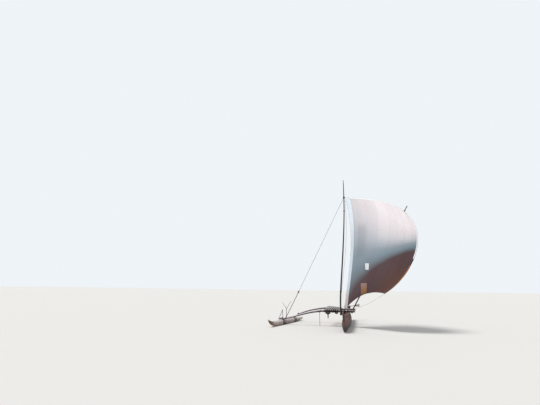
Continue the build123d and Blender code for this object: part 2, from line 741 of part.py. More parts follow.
def stitches(side, curve, low, high):
    """Slanted rope stitches over a batten, leaning to and fro along the seam."""
    count = int((END_Y - STITCH_END) / STITCH_PITCH)
    wall = plan_band(side, 0.0, BATTEN_WIDTH + STITCH_PROUD)
    bars = []
    for i in range(-count, count):
        y = (i + 0.5) * STITCH_PITCH
        lean = STITCH_LEAN / 2 if i % 2 else -STITCH_LEAN / 2
        seam_z = sweep_height(y, *curve)
        corners = [(0, y - lean, seam_z + low), (0, y - lean + STITCH_WIDTH, seam_z + low)]
        corners += [(0, y + lean + STITCH_WIDTH, seam_z + high), (0, y + lean, seam_z + high)]
        face = make_face(Polyline(*corners, close=True))
        bars.append(wall & extrude(face, amount=side * WIDE, dir=(1, 0, 0)))
    return bars


def battens():
    """Strips over the plank seams, outside, on both sides, sewn down with rope."""
    strips = []
    for side in (-1, 1):
        for curve in (SEAM, WALE):
            under = 0.0 if curve is SEAM else BATTEN_HEIGHT / 2
            over = BATTEN_HEIGHT - under
            low, high = raised(curve, -under), raised(curve, over)
            strip = hull_wall(side, 0.0, BATTEN_WIDTH, low, high, BATTEN_INSET)
            foot = STITCH_LIFT if curve is SEAM else -under - STITCH_REACH
            strips.append(strip + stitches(side, curve, foot, over + STITCH_REACH))
    return strips


def build():
    """Every node's solids by name."""
    fore_rows = boom_rows(BOOM_FORE, BOOM_Y, FLOAT_SEATS[0])
    aft_rows = boom_rows(BOOM_AFT, BOOM_Y, FLOAT_SEATS[1])
    fore_boom = boom_spar(fore_rows, -BOOM_Y)
    aft_boom = boom_spar(aft_rows, BOOM_Y)
    both_booms = fore_boom + aft_boom
    poles = thwarts()
    crutch_solids = crutches(fore_rows)
    rack = rack_poles(fore_rows, aft_rows)
    prop = prop_stick(fore_rows)
    log_pieces = in_lengths(log_hull(), LOG_JOINTS)
    nodes = {name: [piece] for name, piece in zip(LOG_LENGTHS, log_pieces)}
    sides = {"windward": -1, "lee": 1}
    for name, side in sides.items():
        lower = hull_wall(side, -PLANK, 0.0, SEAM, WALE)
        nodes[f"strake_lower_{name}"] = in_lengths(lower, LOWER_PLANK_JOINTS, BUTT_GAP)
        upper = hull_wall(side, -PLANK, 0.0, WALE, GUNWALE) - both_booms - poles
        nodes[f"strake_upper_{name}"] = in_lengths(upper, UPPER_PLANK_JOINTS, BUTT_GAP)
        rail = hull_wall(side, 0.0, RAIL_WIDTH, raised(GUNWALE, -RAIL_DEPTH), GUNWALE, RAIL_INSET)
        nodes[f"rail_{name}"] = [rail - both_booms]
    nodes["seam_battens"] = battens()
    nodes["thwarts"] = poles
    nodes["stem_fore"] = [stem_post(-1)]
    nodes["stem_aft"] = [stem_post(1)]
    cut_by_boom = [*crutch_solids, *rack, prop]
    nodes["boom_fore"] = [fore_boom - cut_by_boom]
    nodes["boom_aft"] = [aft_boom - rack]
    nodes["crutch_sticks"] = crutch_solids
    nodes["rack_poles"] = rack
    nodes["prop_stick"] = [prop]
    lashings = hull_lashings(fore_rows, -BOOM_Y) + hull_lashings(aft_rows, BOOM_Y)
    nodes["hull_lashings"] = [band - both_booms - poles for band in lashings]
    log = float_loft()
    nodes["outrigger_float"] = [log - both_booms]
    bands = [float_lashing(fore_rows, -BOOM_Y), float_lashing(aft_rows, BOOM_Y)]
    nodes["float_lashings"] = [band - log - both_booms for band in bands]
    lean = Vector(*SPRIT_TIP) - Vector(*SPRIT_HEEL)
    mast_step = heel_step(MAST_HEEL, MAST_CURVE[0][2], fore_rows, -BOOM_Y, (0, 0, 1))
    nodes["mast_step"] = [mast_step - fore_boom]
    sprit_step = heel_step(SPRIT_HEEL, SPRIT_HEEL_R, aft_rows, BOOM_Y, tuple(lean))
    nodes["sprit_step"] = [sprit_step - aft_boom]
    nodes["thole_blocks"] = [thole_block(-THOLE_Y), thole_block(THOLE_Y)]
    nodes["thole_pins"] = [thole_pin(-THOLE_Y), thole_pin(THOLE_Y)]
    nodes["stay_block"] = [stay_block()]
    nodes["stay_lanyard"] = [stay_lanyard(fore_rows)]
    nodes["mast"] = [mast() - mast_truck()]
    nodes["mast_truck"] = [mast_truck()]
    nodes["mast_lashings"] = [
        mast_collar(COLLAR_AT, COLLAR_HEIGHT),
        mast_collar(LOWER_COLLAR_AT, LOWER_COLLAR_HEIGHT),
    ]
    nodes["windward_stay"] = [windward_stay()]
    nodes["sprit"] = [sprit()]
    nodes["peak_lashing"] = [peak_lashing()]
    nodes["sail"] = [sail()]
    nodes["oar_loom"] = [oar_loom()]
    nodes["oar_blade"] = [oar_blade()]
    nodes["oar_cheek"] = [oar_cheek()]
    return nodes


def main():
    os.makedirs("parts", exist_ok=True)
    for name, solids in build().items():
        pieces = [piece for solid in solids for piece in solid.solids()]
        export_step(pieces[0] if len(pieces) == 1 else Compound(pieces), f"parts/{name}.step")


main()
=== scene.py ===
"""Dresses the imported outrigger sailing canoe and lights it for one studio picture.

Everything is in metres in the row frame: +Z up, +Y along the hull away from the camera,
-X towards the outrigger, with the ground at z = 0. Tones are written as they should look,
from 0 to 255.
"""

import logging
import math
import random
from dataclasses import dataclass, field
from enum import Enum
from functools import reduce
from typing import Callable, ClassVar, Iterable, Optional, Sequence, Union

import bpy
import numpy as np
from mathutils import Matrix, Vector
from mathutils.bvhtree import BVHTree


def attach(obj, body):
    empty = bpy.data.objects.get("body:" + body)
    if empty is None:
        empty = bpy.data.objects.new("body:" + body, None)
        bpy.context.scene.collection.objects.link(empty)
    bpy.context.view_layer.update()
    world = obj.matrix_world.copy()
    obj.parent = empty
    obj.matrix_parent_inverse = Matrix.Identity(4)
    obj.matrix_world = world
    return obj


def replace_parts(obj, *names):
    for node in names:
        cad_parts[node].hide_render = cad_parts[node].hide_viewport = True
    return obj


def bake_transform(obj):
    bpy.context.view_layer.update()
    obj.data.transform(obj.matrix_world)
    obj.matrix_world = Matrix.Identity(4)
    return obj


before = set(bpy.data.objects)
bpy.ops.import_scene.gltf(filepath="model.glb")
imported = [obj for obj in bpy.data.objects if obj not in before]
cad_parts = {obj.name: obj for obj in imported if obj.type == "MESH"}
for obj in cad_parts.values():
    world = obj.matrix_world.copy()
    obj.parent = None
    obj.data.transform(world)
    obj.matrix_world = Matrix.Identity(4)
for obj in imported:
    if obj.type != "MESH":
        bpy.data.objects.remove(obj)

LOG = logging.getLogger("canoe")
Pair = tuple[float, float]
Triple = tuple[float, float, float]
Points = Sequence[Vector]
Outline = Callable[[np.ndarray, np.ndarray], tuple[np.ndarray, np.ndarray]]

HULL, RIG, OAR = "hull", "rig", "steering_oar"
LEE, AFT, UP = Vector((1, 0, 0)), Vector((0, 1, 0)), Vector((0, 0, 1))
BOTH = (-1, 1)  # the two sides of a thing
THROAT = (0.191, -1.365, 9.522)  # middle of the throat lashing on the mast
PALEST = 0.95  # most of the light that a surface gives back


class Grain(Enum):
    """The way a timber's grain runs."""

    ALONG_HULL = (0.0, 1.0, 0.0)
    ACROSS = (1.0, 0.0, 0.0)
    UPRIGHT = (0.0, 0.0, 1.0)
    SPRIT = (0.434, -0.482, 0.761)
    OAR = (0.342, 0.940, 0.0)


def linear(tone: Triple, share: float = 1.0) -> Triple:
    """Linear colour of a tone.

    Args:
        tone: The tone as it should look, from 0 to 255.
        share: What the colour is multiplied by.

    Returns:
        The colour.
    """
    parts = [value / 255 for value in tone]
    bright = [p / 12.92 if p <= 0.04045 else ((p + 0.055) / 1.055) ** 2.4 for p in parts]
    return tuple(min(b, PALEST) * share for b in bright)


class Wire:
    """A number or colour on its way through a shader, on which sums add Math nodes."""

    def __init__(self, tree: "Tree", socket: bpy.types.NodeSocket) -> None:
        """Wraps the output socket of a node in a tree."""
        self.tree, self.socket = tree, socket

    def _math(self, operation: str, *values: "Value") -> "Wire":
        """Output of one Math node on values in order."""
        return self.tree.add("ShaderNodeMath", {"operation": operation}, dict(enumerate(values)))

    def __add__(self, other: "Value") -> "Wire":
        """Sum."""
        return self._math("ADD", self, other)

    def __radd__(self, other: "Value") -> "Wire":
        """Sum with a number on the left."""
        return self._math("ADD", other, self)

    def __sub__(self, other: "Value") -> "Wire":
        """Difference."""
        return self._math("SUBTRACT", self, other)

    def __rsub__(self, other: "Value") -> "Wire":
        """Difference from a number on the left."""
        return self._math("SUBTRACT", other, self)

    def __mul__(self, other: "Value") -> "Wire":
        """Product."""
        return self._math("MULTIPLY", self, other)

    def __rmul__(self, other: "Value") -> "Wire":
        """Product with a number on the left."""
        return self._math("MULTIPLY", other, self)

    def __truediv__(self, other: "Value") -> "Wire":
        """Quotient."""
        return self._math("DIVIDE", self, other)

    def __rtruediv__(self, other: "Value") -> "Wire":
        """Quotient of a number on the left."""
        return self._math("DIVIDE", other, self)

    def sine(self) -> "Wire":
        """Sine of the value in radians."""
        return self._math("SINE", self)

    def fraction(self) -> "Wire":
        """Part after the decimal point."""
        return self._math("FRACT", self)

    def size(self) -> "Wire":
        """Value without its sign."""
        return self._math("ABSOLUTE", self)

    def larger(self, other: "Value") -> "Wire":
        """Larger of two values."""
        return self._math("MAXIMUM", self, other)

    def near(self, place: "Value", width: float) -> "Wire":
        """Soft line: 1 where the value is at a place, 0 from a width away."""
        return (self - place).size().step(width, width * 0.4)

    def step(self, low: float, high: float) -> "Wire":
        """Smooth step.

        Args:
            low: The value that gives 0.
            high: The value that gives 1; it may be the smaller of the two.

        Returns:
            0 to 1 between them.
        """
        settings = {"interpolation_type": "SMOOTHSTEP", "clamp": True}
        sockets = {"Value": self, "From Min": min(low, high), "From Max": max(low, high)}
        made = self.tree.add("ShaderNodeMapRange", settings, sockets)
        return made if low < high else 1 - made


Value = Union[float, Wire]
Paintable = Union[Triple, Wire]


class Tree:
    """The nodes of one material, or of the world.

    It reads the point of the surface (place) and its normal (facing) in the row frame at
    rest, and the surface's own map (laid).
    """

    def __init__(self, holder: Union[bpy.types.Material, bpy.types.World]) -> None:
        """Starts with empty nodes.

        Args:
            holder: What the nodes belong to.
        """
        holder.use_nodes = True
        self.nodes, self.links = holder.node_tree.nodes, holder.node_tree.links
        self.nodes.clear()
        read = self.nodes.new("ShaderNodeTexCoord").outputs
        self.place, self.facing = Wire(self, read["Object"]), Wire(self, read["Normal"])
        self.laid = Wire(self, read["UV"])

    def add(self, kind: str, settings: dict, sockets: dict, out: Union[int, str] = 0) -> Wire:
        """Adds any node.

        Args:
            kind: The node's type.
            settings: Its own settings, set first; stops are a ramp's (place, colour) pairs.
            sockets: Values or wires by input name or number.
            out: The output to return.

        Returns:
            That output.
        """
        node = self.nodes.new(kind)
        for key, value in settings.items():
            if key != "stops":
                setattr(node, key, value)
                continue
            elements = node.color_ramp.elements
            while len(elements) < len(value):
                elements.new(1.0)
            for element, (place, colour) in zip(elements, value):
                element.position, element.color = place, (*colour, 1.0)
        for key, value in sockets.items():
            if isinstance(value, Wire):
                self.links.new(value.socket, node.inputs[key])
            else:
                node.inputs[key].default_value = value
        return Wire(self, node.outputs[out])

    def end(self, kind: str, shader: Wire) -> None:
        """Ends the tree in an output node of a kind."""
        self.links.new(shader.socket, self.nodes.new(kind).inputs["Surface"])

    def part(self, vector: Wire, letter: str) -> Wire:
        """One coordinate of a vector: X, Y or Z."""
        return self.add("ShaderNodeSeparateXYZ", {}, {0: vector}, letter)

    def vector(self, operation: str, sockets: dict, out: int = 0) -> Wire:
        """Output of one Vector Math node."""
        return self.add("ShaderNodeVectorMath", {"operation": operation}, sockets, out)

    def drawn_out(self, grain: Grain, share: float) -> Wire:
        """Point of the surface, squeezed along the grain so that noise on it makes long lines.

        Args:
            grain: The way the grain runs.
            share: How much of the length along the grain is taken out.

        Returns:
            The squeezed point.
        """
        run = self.vector("DOT_PRODUCT", {0: self.place, 1: grain.value}, 1)
        taken = self.vector("SCALE", {0: grain.value, "Scale": run * share})
        return self.vector("SUBTRACT", {0: self.place, 1: taken})

    def noise(self, where: Wire, scale: float, detail: float = 3.0, rough: float = 0.55) -> Wire:
        """Cloudy noise from 0 to 1 read at a point; a larger scale is finer."""
        sockets = {"Vector": where, "Scale": scale, "Detail": detail, "Roughness": rough}
        return self.add("ShaderNodeTexNoise", {}, sockets)

    def mix(self, factor: Value, first: Paintable, second: Paintable) -> Wire:
        """Blend of two linear colours.

        Args:
            factor: 0 gives the first, 1 the second.
            first: A colour.
            second: A colour.

        Returns:
            The blend.
        """
        colours = [c if isinstance(c, Wire) else (*c, 1.0) for c in (first, second)]
        settings = {"data_type": "RGBA", "clamp_factor": True}
        return self.add("ShaderNodeMix", settings, {0: factor, 6: colours[0], 7: colours[1]}, 2)

    def bump(self, height: Wire, strength: float, distance: float) -> Wire:
        """Normal from a height, whose 1 stands for a distance in metres."""
        sockets = {"Strength": strength, "Distance": distance, "Height": height}
        return self.add("ShaderNodeBump", {}, sockets)

    def surface(
        self, colour: Wire, rough: Value, normal: Wire, sheen: float = 0.0, gloss: float = 0.4
    ) -> None:
        """Ends the tree in one plain shader.

        Args:
            colour: Base colour.
            rough: Roughness.
            normal: Surface normal.
            sheen: Weight of the cloth's sheen.
            gloss: Level of its mirror light.
        """
        sockets = {"Base Color": colour, "Roughness": rough, "Normal": normal}
        sockets |= {"Sheen Weight": sheen, "Specular IOR Level": gloss}
        shader = self.add("ShaderNodeBsdfPrincipled", {}, sockets)
        self.end("ShaderNodeOutputMaterial", shader)


@dataclass(frozen=True)
class Finish:
    """A finish, whose material is made when it is first used."""

    name: str  # the material's name
    slot: str  # the record's material slot, or nothing for the studio

    _made: ClassVar[dict[str, bpy.types.Material]] = {}

    def lay(self, tree: Tree) -> None:
        """Adds the finish's nodes to a tree; each finish has its own."""
        raise NotImplementedError

    def material(self) -> bpy.types.Material:
        """Gives the material.

        Returns:
            The material.
        """
        if self.name not in self._made:
            self._made[self.name] = bpy.data.materials.new(self.name)
            self.lay(Tree(self._made[self.name]))
        return self._made[self.name]


@dataclass(frozen=True)
class StainAndLight:
    """Colour that comes in along one direction, for stains and for painted light and shade."""

    tone: Triple
    letter: str  # the coordinate that it follows
    start: float  # where it begins
    full: float  # where it is full
    share: float  # how much of it shows there

    def on(self, tree: Tree, under: Wire, ragged: Wire) -> Wire:
        """Lays this colour over a colour.

        Args:
            tree: The material's nodes.
            under: The colour.
            ragged: Noise that breaks up its edge.

        Returns:
            The stained colour.
        """
        run = tree.part(tree.place, self.letter) + (ragged - 0.5) * (self.full - self.start)
        return tree.mix(run.step(self.start, self.full) * self.share, under, linear(self.tone))


@dataclass(frozen=True)
class Timber(Finish):
    """Weathered wood with grain, checks, knots, and a top paled by bleaching and painted light.
    """

    light: Triple  # the grain's pale lines
    dark: Triple  # its dark lines
    grain: Grain
    top: Triple  # what sun and salt make of surfaces that face up, with painted light from above
    top_share: float  # how much of that shows
    fineness: float  # grain lines per metre, about
    relief: float = 0.0022  # depth of the grain
    roughness: float = 0.72
    stains_and_light: tuple[StainAndLight, ...] = ()
    turn: float = -0.2  # upward part of the normal where the top's tone begins

    GRAIN, CRACK = 0.9, 0.975  # how far the lines and the cracks are drawn out

    def lay(self, tree: Tree) -> None:
        """Adds the wood's nodes.

        Args:
            tree: The material's nodes.
        """
        along, split = (tree.drawn_out(self.grain, d) for d in (self.GRAIN, self.CRACK))
        lines = tree.noise(along, self.fineness, 5.0, 0.65)
        broad = tree.noise(tree.place, 2.3, 3.0, 0.6)
        checks = tree.noise(split, self.fineness * 0.5, 1.0, 0.3)
        crack = (checks - 0.5).size().step(0.014, 0.0)
        crack = crack * tree.noise(along, 3.0).step(0.46, 0.56)
        knot = tree.noise(along, 4.1, 1.0, 0.3).step(0.70, 0.75)
        body = tree.mix(lines.step(0.34, 0.66), linear(self.dark), linear(self.light))
        worn = tree.mix(broad.step(0.42, 0.7) * 0.45, body, linear(self.dark, 0.62))
        # Paler where the surface faces up: bleaching, and painted light from above.
        up = tree.part(tree.facing, "Z").step(self.turn, self.turn + 0.8)
        up = up * (0.65 + 0.35 * broad) * self.top_share
        top = tree.mix(lines.step(0.3, 0.7), linear(self.top, 0.72), linear(self.top))
        colour = tree.mix(up, worn, top)
        for tint in self.stains_and_light:
            colour = tint.on(tree, colour, broad)
        # Dark knots, and painted shade in the cracks.
        colour = tree.mix((crack * 0.75).larger(knot * 0.6), colour, linear(self.dark, 0.3))
        height = lines * 0.6 + broad * 0.5 - crack * 0.9
        rough = self.roughness + (lines - 0.5) * 0.22
        tree.surface(colour, rough, tree.bump(height, 0.8, self.relief))


@dataclass(frozen=True)
class Cordage(Finish):
    """Laid rope of three strands, which wind round it by its own map."""

    crown: Triple  # the strands' crowns
    groove_shade: Triple  # painted shade between them
    relief: float = 0.0016  # height of a strand

    STRANDS = 3

    def lay(self, tree: Tree) -> None:
        """Adds the rope's nodes.

        Args:
            tree: The material's nodes.
        """
        round_it, along = tree.part(tree.laid, "X"), tree.part(tree.laid, "Y")
        strand = ((round_it * self.STRANDS + along) * math.tau).sine() * 0.5 + 0.5
        fibre = tree.noise(tree.place, 420.0, 2.0)
        soil = tree.noise(tree.place, 9.0).step(0.35, 0.7)
        crown = tree.mix(soil, linear(self.crown), linear(self.crown, 0.6))
        # Painted shade in the grooves between the strands.
        colour = tree.mix(strand.step(0.05, 0.6), linear(self.groove_shade), crown)
        normal = tree.bump(strand * 0.8 + fibre * 0.3, 0.9, self.relief)
        tree.surface(colour, 0.86 + fibre * 0.1, normal, 0.08, 0.2)


@dataclass(frozen=True)
class SailCloth(Finish):
    """Cotton cloth of the sail, pale above by painted light and dark below by painted shade.

    It is laid out by its own map, which runs from luff to leech (u) and from foot to head (v),
    both from 0 to 1. The painted shade of the lower belly ends along a curve, and the painted
    fall-off of light above it follows the distance from that curve.
    """

    edge: Triple = (0.088, 0.460, 0.008)  # where the painted shade of the lower belly ends, by 1, u and u squared
    width: Triple = (0.60, -0.98, 0.47)  # height of the painted fall-off of light above it, in the same way
    tones: tuple[tuple[float, Triple], ...] = (  # height as a share of that width, and tone: painted shade, grey, then painted light
        (-0.15, (91, 70, 73)), (0.0, (97, 97, 102)), (0.15, (112, 120, 126)),
        (0.45, (130, 145, 156)), (0.75, (148, 158, 167)), (1.0, (178, 182, 190)),
        (1.35, (208, 206, 210)), (1.8, (227, 219, 221)), (2.6, (240, 231, 232)),
    )
    clew_shade: Triple = (106, 76, 68)  # painted warm shade near the clew
    shade: Triple = (110, 116, 124)  # of the darker cloths
    seam: Triple = (84, 76, 80)
    thread: Triple = (206, 198, 196)
    dirt: Triple = (110, 98, 96)
    seams: tuple[float, ...] = (0.14, 0.28, 0.44, 0.60, 0.72, 0.82, 0.92)  # places by u
    cross_seams: tuple[float, ...] = (0.40, 0.54, 0.67)  # places by v
    # how much darker the cloth gets from each of the seams on
    changes: tuple[float, ...] = (0.05, 0.04, -0.07, 0.05, -0.03, -0.03, 0.03)

    SEAM_WIDTH, CROSS_WIDTH = 0.004, 0.0022  # half widths of the seams on the map
    STITCH, THREAD = 0.005, 0.0007  # the stitches' distance from a seam, and half width
    STITCHES = 420  # from foot to head
    SHARP = 0.002  # half width of the step in tone at a seam

    def lay(self, tree: Tree) -> None:
        """Adds the cloth's nodes.

        Args:
            tree: The material's nodes.
        """
        u, v = tree.part(tree.laid, "X"), tree.part(tree.laid, "Y")
        seam, stitch = self._seams(u, v)
        colour = tree.mix(seam * 0.09, self._tone(tree, u, v), linear(self.seam))
        colour = tree.mix(stitch * 0.12, colour, linear(self.thread))
        soil = tree.noise(tree.place, 3.1, 5.0, 0.7).step(0.56, 0.74)
        colour = tree.mix(soil * 0.14, colour, linear(self.dirt))
        weave = tree.noise(tree.place, 260.0, 2.0)
        relief = seam * 0.6 + weave * 0.12 + tree.noise(tree.place, 5.0) * 0.6
        tree.surface(colour, 0.82 + weave * 0.1, tree.bump(relief, 0.5, 0.008), 0.04, 0.12)

    def _tone(self, tree: Tree, u: Wire, v: Wire) -> Wire:
        """Tone of the cloth, with its painted light and shade, before seams and dirt.

        Args:
            tree: The material's nodes.
            u: Share of the way from luff to leech.
            v: Share of the way from foot to head.

        Returns:
            The tone.
        """
        (a, b, c), (p, q, r) = self.edge, self.width
        low, span = self.tones[0][0], self.tones[-1][0] - self.tones[0][0]
        cloud = tree.noise(tree.place, 0.7, 4.0, 0.6)
        # Painted shade below the curve, painted fall-off of light above it.
        height = v - (a + u * b + u * u * c) + (cloud - 0.5) * 0.045
        place = (height / (p + u * q + u * u * r) - low) / span
        stops = [((at - low) / span, linear(tone)) for at, tone in self.tones]
        tone = tree.add("ShaderNodeValToRGB", {"stops": stops}, {0: place})
        # Painted warm shade in the lower corner by the clew.
        corner = v.step(0.48, 0.16) * u.step(0.58, 0.92)
        tone = tree.mix(corner * 0.85, tone, linear(self.clew_shade))
        strip = u.near(0.19, 0.105) * v.step(0.40, 0.46) * v.step(0.78, 0.70)
        tone = tree.mix(strip * 0.22, tone, linear(self.shade))
        changes = zip(self.seams, self.changes)
        darker = sum(u.step(at - self.SHARP, at + self.SHARP) * by for at, by in changes)
        return tree.mix(darker, tone, linear(self.shade))

    def _seams(self, u: Wire, v: Wire) -> tuple[Wire, Wire]:
        """Seams and the stitches beside them.

        Args:
            u: Share of the way from luff to leech.
            v: Share of the way from foot to head.

        Returns:
            Masks of the seams and of the stitches.
        """
        seams = [v.near(at, self.CROSS_WIDTH) for at in self.cross_seams]
        seams += [u.near(at, self.SEAM_WIDTH) for at in self.seams]
        beside = [(u - at).size().near(self.STITCH, self.THREAD) for at in self.seams]
        dashes = (v * self.STITCHES).fraction().step(0.35, 0.5)
        return reduce(Wire.larger, seams), reduce(Wire.larger, beside) * dashes


@dataclass(frozen=True)
class PlainCloth(Finish):
    """Single-coloured cloth for hems, bands and patches."""

    tone: Triple
    soil: Triple  # of the dirt on it
    stains_and_light: tuple[StainAndLight, ...] = ()

    def lay(self, tree: Tree) -> None:
        """Adds the cloth's nodes.

        Args:
            tree: The material's nodes.
        """
        cloud = tree.noise(tree.place, 2.6, 4.0, 0.65)
        weave = tree.noise(tree.place, 300.0, 2.0)
        dirt = cloud.step(0.45, 0.75) * 0.45
        colour = tree.mix(dirt, linear(self.tone), linear(self.soil))
        for tint in self.stains_and_light:
            colour = tint.on(tree, colour, cloud)
        normal = tree.bump(weave * 0.2 + tree.noise(tree.place, 14.0), 0.5, 0.005)
        tree.surface(colour, 0.85 + weave * 0.08, normal, 0.04, 0.12)


@dataclass(frozen=True)
class Paint(Finish):
    """Matt colour for the studio's floor."""

    colour: Triple  # linear

    def lay(self, tree: Tree) -> None:
        """Adds the paint's nodes.

        Args:
            tree: The material's nodes.
        """
        cloud = tree.noise(tree.place, 14.0)
        colour = tree.mix(cloud * 0.08, self.colour, tuple(c * 0.9 for c in self.colour))
        tree.surface(colour, 0.95, tree.bump(cloud, 0.1, 0.002))


class Kit:
    """The finishes of the canoe's timbers, ropes and cloth."""

    # The log: dark, redder from 0.34 m up to 0.56 m; the dark below that is painted shade of the
    # hull's own shadow on the log's own dark colour.
    LOG = Timber(
        "dark_shaded_log", "log_wood", (88, 72, 66), (52, 42, 40), Grain.ALONG_HULL,
        (132, 112, 104), 0.3, 26.0, stains_and_light=(StainAndLight((110, 68, 60), "Z", 0.34, 0.56, 0.8),),
    )
    BLOCK = Timber(
        "stem_block", "log_wood", (120, 82, 72), (70, 46, 42), Grain.ALONG_HULL,
        (150, 122, 110), 0.4, 30.0, 0.0016,
    )
    STEP = Timber(
        "dark_step", "log_wood", (80, 66, 62), (48, 38, 38), Grain.UPRIGHT,
        (110, 96, 90), 0.35, 30.0, 0.0016,
    )
    PLANK = Timber(
        "oiled_plank", "plank_wood", (122, 76, 68), (84, 52, 48), Grain.ALONG_HULL,
        (150, 112, 100), 0.35, 30.0, 0.0016, 0.6,
    )
    # Booms: the pale tops are bleaching with painted sunlight, and the dark sides and undersides
    # hold painted shade.
    BOOM = Timber(
        "bleached_sunlit_boom", "boom_wood", (112, 96, 94), (62, 52, 54), Grain.ACROSS,
        (243, 234, 240), 1.0, 30.0, turn=-0.05,
    )
    FLOAT = Timber(
        "bleached_float", "float_wood", (206, 191, 187), (140, 122, 114), Grain.ALONG_HULL,
        (240, 228, 227), 0.95, 22.0, 0.004,
        stains_and_light=(StainAndLight((104, 84, 46), "Y", -2.75, -3.35, 0.85),),
    )
    POLE = Timber(
        "peeled_pole", "pale_pole", (236, 230, 224), (190, 180, 170), Grain.ALONG_HULL,
        (248, 245, 242), 0.8, 40.0, 0.001,
    )
    THWART = Timber(
        "peeled_thwart", "pale_pole", (196, 186, 174), (140, 128, 116), Grain.ACROSS,
        (224, 218, 210), 0.6, 40.0, 0.001,
    )
    STICK = Timber(
        "grey_stick", "boom_wood", (112, 98, 96), (66, 55, 56), Grain.UPRIGHT,
        (150, 138, 136), 0.4, 44.0, 0.001,
    )
    PROP = Timber(
        "ochre_stick", "boom_wood", (142, 108, 68), (96, 70, 44), Grain.UPRIGHT,
        (168, 138, 98), 0.3, 44.0, 0.001,
    )
    MAST = Timber(
        "black_mast", "dark_spar", (58, 55, 62), (32, 30, 36), Grain.UPRIGHT,
        (92, 88, 94), 0.35, 40.0, 0.0012, 0.55,
    )
    SPRIT = Timber(
        "black_sprit", "dark_spar", (58, 55, 62), (32, 30, 36), Grain.SPRIT,
        (92, 88, 94), 0.35, 40.0, 0.0012, 0.55,
    )
    LOOM = Timber(
        "dark_loom", "dark_spar", (84, 74, 70), (48, 42, 42), Grain.OAR,
        (120, 110, 106), 0.4, 40.0, 0.001, 0.5,
    )
    BLADE = Timber(
        "scrubbed_blade", "pale_pole", (204, 194, 184), (160, 146, 134), Grain.OAR,
        (222, 216, 210), 0.5, 40.0, 0.001,
    )
    COIR = Cordage("coir", "coir_rope", (112, 88, 70), (52, 38, 30))
    PALE_COIR = Cordage("sunned_coir", "coir_rope", (150, 128, 108), (74, 58, 46))
    TARRED = Cordage("tarred_line", "coir_rope", (62, 56, 56), (30, 26, 26), 0.0012)
    # The sail's cloth, with its light and shade painted in.
    CLOTH = SailCloth("sail_cotton", "sail_cloth")
    # Luff band: bluish white, greyer below 7.6 m and again below 3.1 m, which is painted shade
    # down the luff.
    BAND = PlainCloth(
        "band_cotton", "sail_cloth", (230, 240, 250), (214, 224, 234),
        (StainAndLight((204, 216, 226), "Z", 7.6, 5.9, 0.9), StainAndLight((196, 190, 192), "Z", 3.1, 2.0, 0.9)),
    )
    HEM = PlainCloth("hem_cotton", "sail_cloth", (250, 249, 250), (228, 224, 226))
    # A real patch on the sail; its paleness is painted sunlight shining through it.
    BACKLIT_PATCH = PlainCloth("backlit_patch_cotton", "sail_cloth", (226, 226, 230), (200, 198, 202))
    # A thin patch near the tack: peach, more orange below 2.95 m, painted as the glow of sunlight
    # through it.
    BACKLIT_OCHRE = PlainCloth(
        "backlit_ochre_patch", "sail_cloth", (156, 126, 118), (126, 96, 90),
        (StainAndLight((158, 110, 68), "Z", 2.95, 2.6, 0.75),),
    )
    # Orange-brown strip along the lower leech: a painted glint of light at the cloth's edge.
    GLINT_HEM = PlainCloth("glint_hem", "sail_cloth", (160, 106, 62), (112, 74, 54))
    FLOOR = Paint("pale_floor", "", (0.80, 0.78, 0.74))


def dress(finish: Finish, *nodes: str) -> None:
    """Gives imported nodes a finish.

    Args:
        finish: The finish.
        nodes: The nodes' names.
    """
    for node in nodes:
        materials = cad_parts[node].data.materials
        materials.clear()
        materials.append(finish.material())


def new_piece(
    name: str, corners: Iterable, faces: Iterable, finish: Finish, body: Optional[str],
    maps: Optional[Sequence[Pair]] = None,
) -> bpy.types.Object:
    """Makes a mesh piece.

    Args:
        name: Its name.
        corners: Its vertices.
        faces: Its faces as vertex numbers.
        finish: Its finish.
        body: The body that it rides on, or None for none.
        maps: A pair of map coordinates for each face corner, in face order.

    Returns:
        The piece.
    """
    mesh = bpy.data.meshes.new(name)
    mesh.from_pydata([tuple(c) for c in corners], [], [tuple(f) for f in faces])
    if maps is not None:
        layer = mesh.uv_layers.new(name="laid")
        layer.data.foreach_set("uv", np.array(maps, np.float32).ravel())
    mesh.shade_smooth()
    mesh.materials.append(finish.material())
    piece = bpy.data.objects.new(name, mesh)
    bpy.context.scene.collection.objects.link(piece)
    if body:
        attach(piece, body)
    return piece


def round_axis(axis: Vector, count: int) -> list[Vector]:
    """Unit vectors evenly round an axis and square to it.

    Args:
        axis: The axis.
        count: How many there are.

    Returns:
        The vectors.
    """
    side = axis.orthogonal().normalized()
    other = axis.normalized().cross(side)
    turns = [math.tau * k / count for k in range(count)]
    return [side * math.cos(t) + other * math.sin(t) for t in turns]


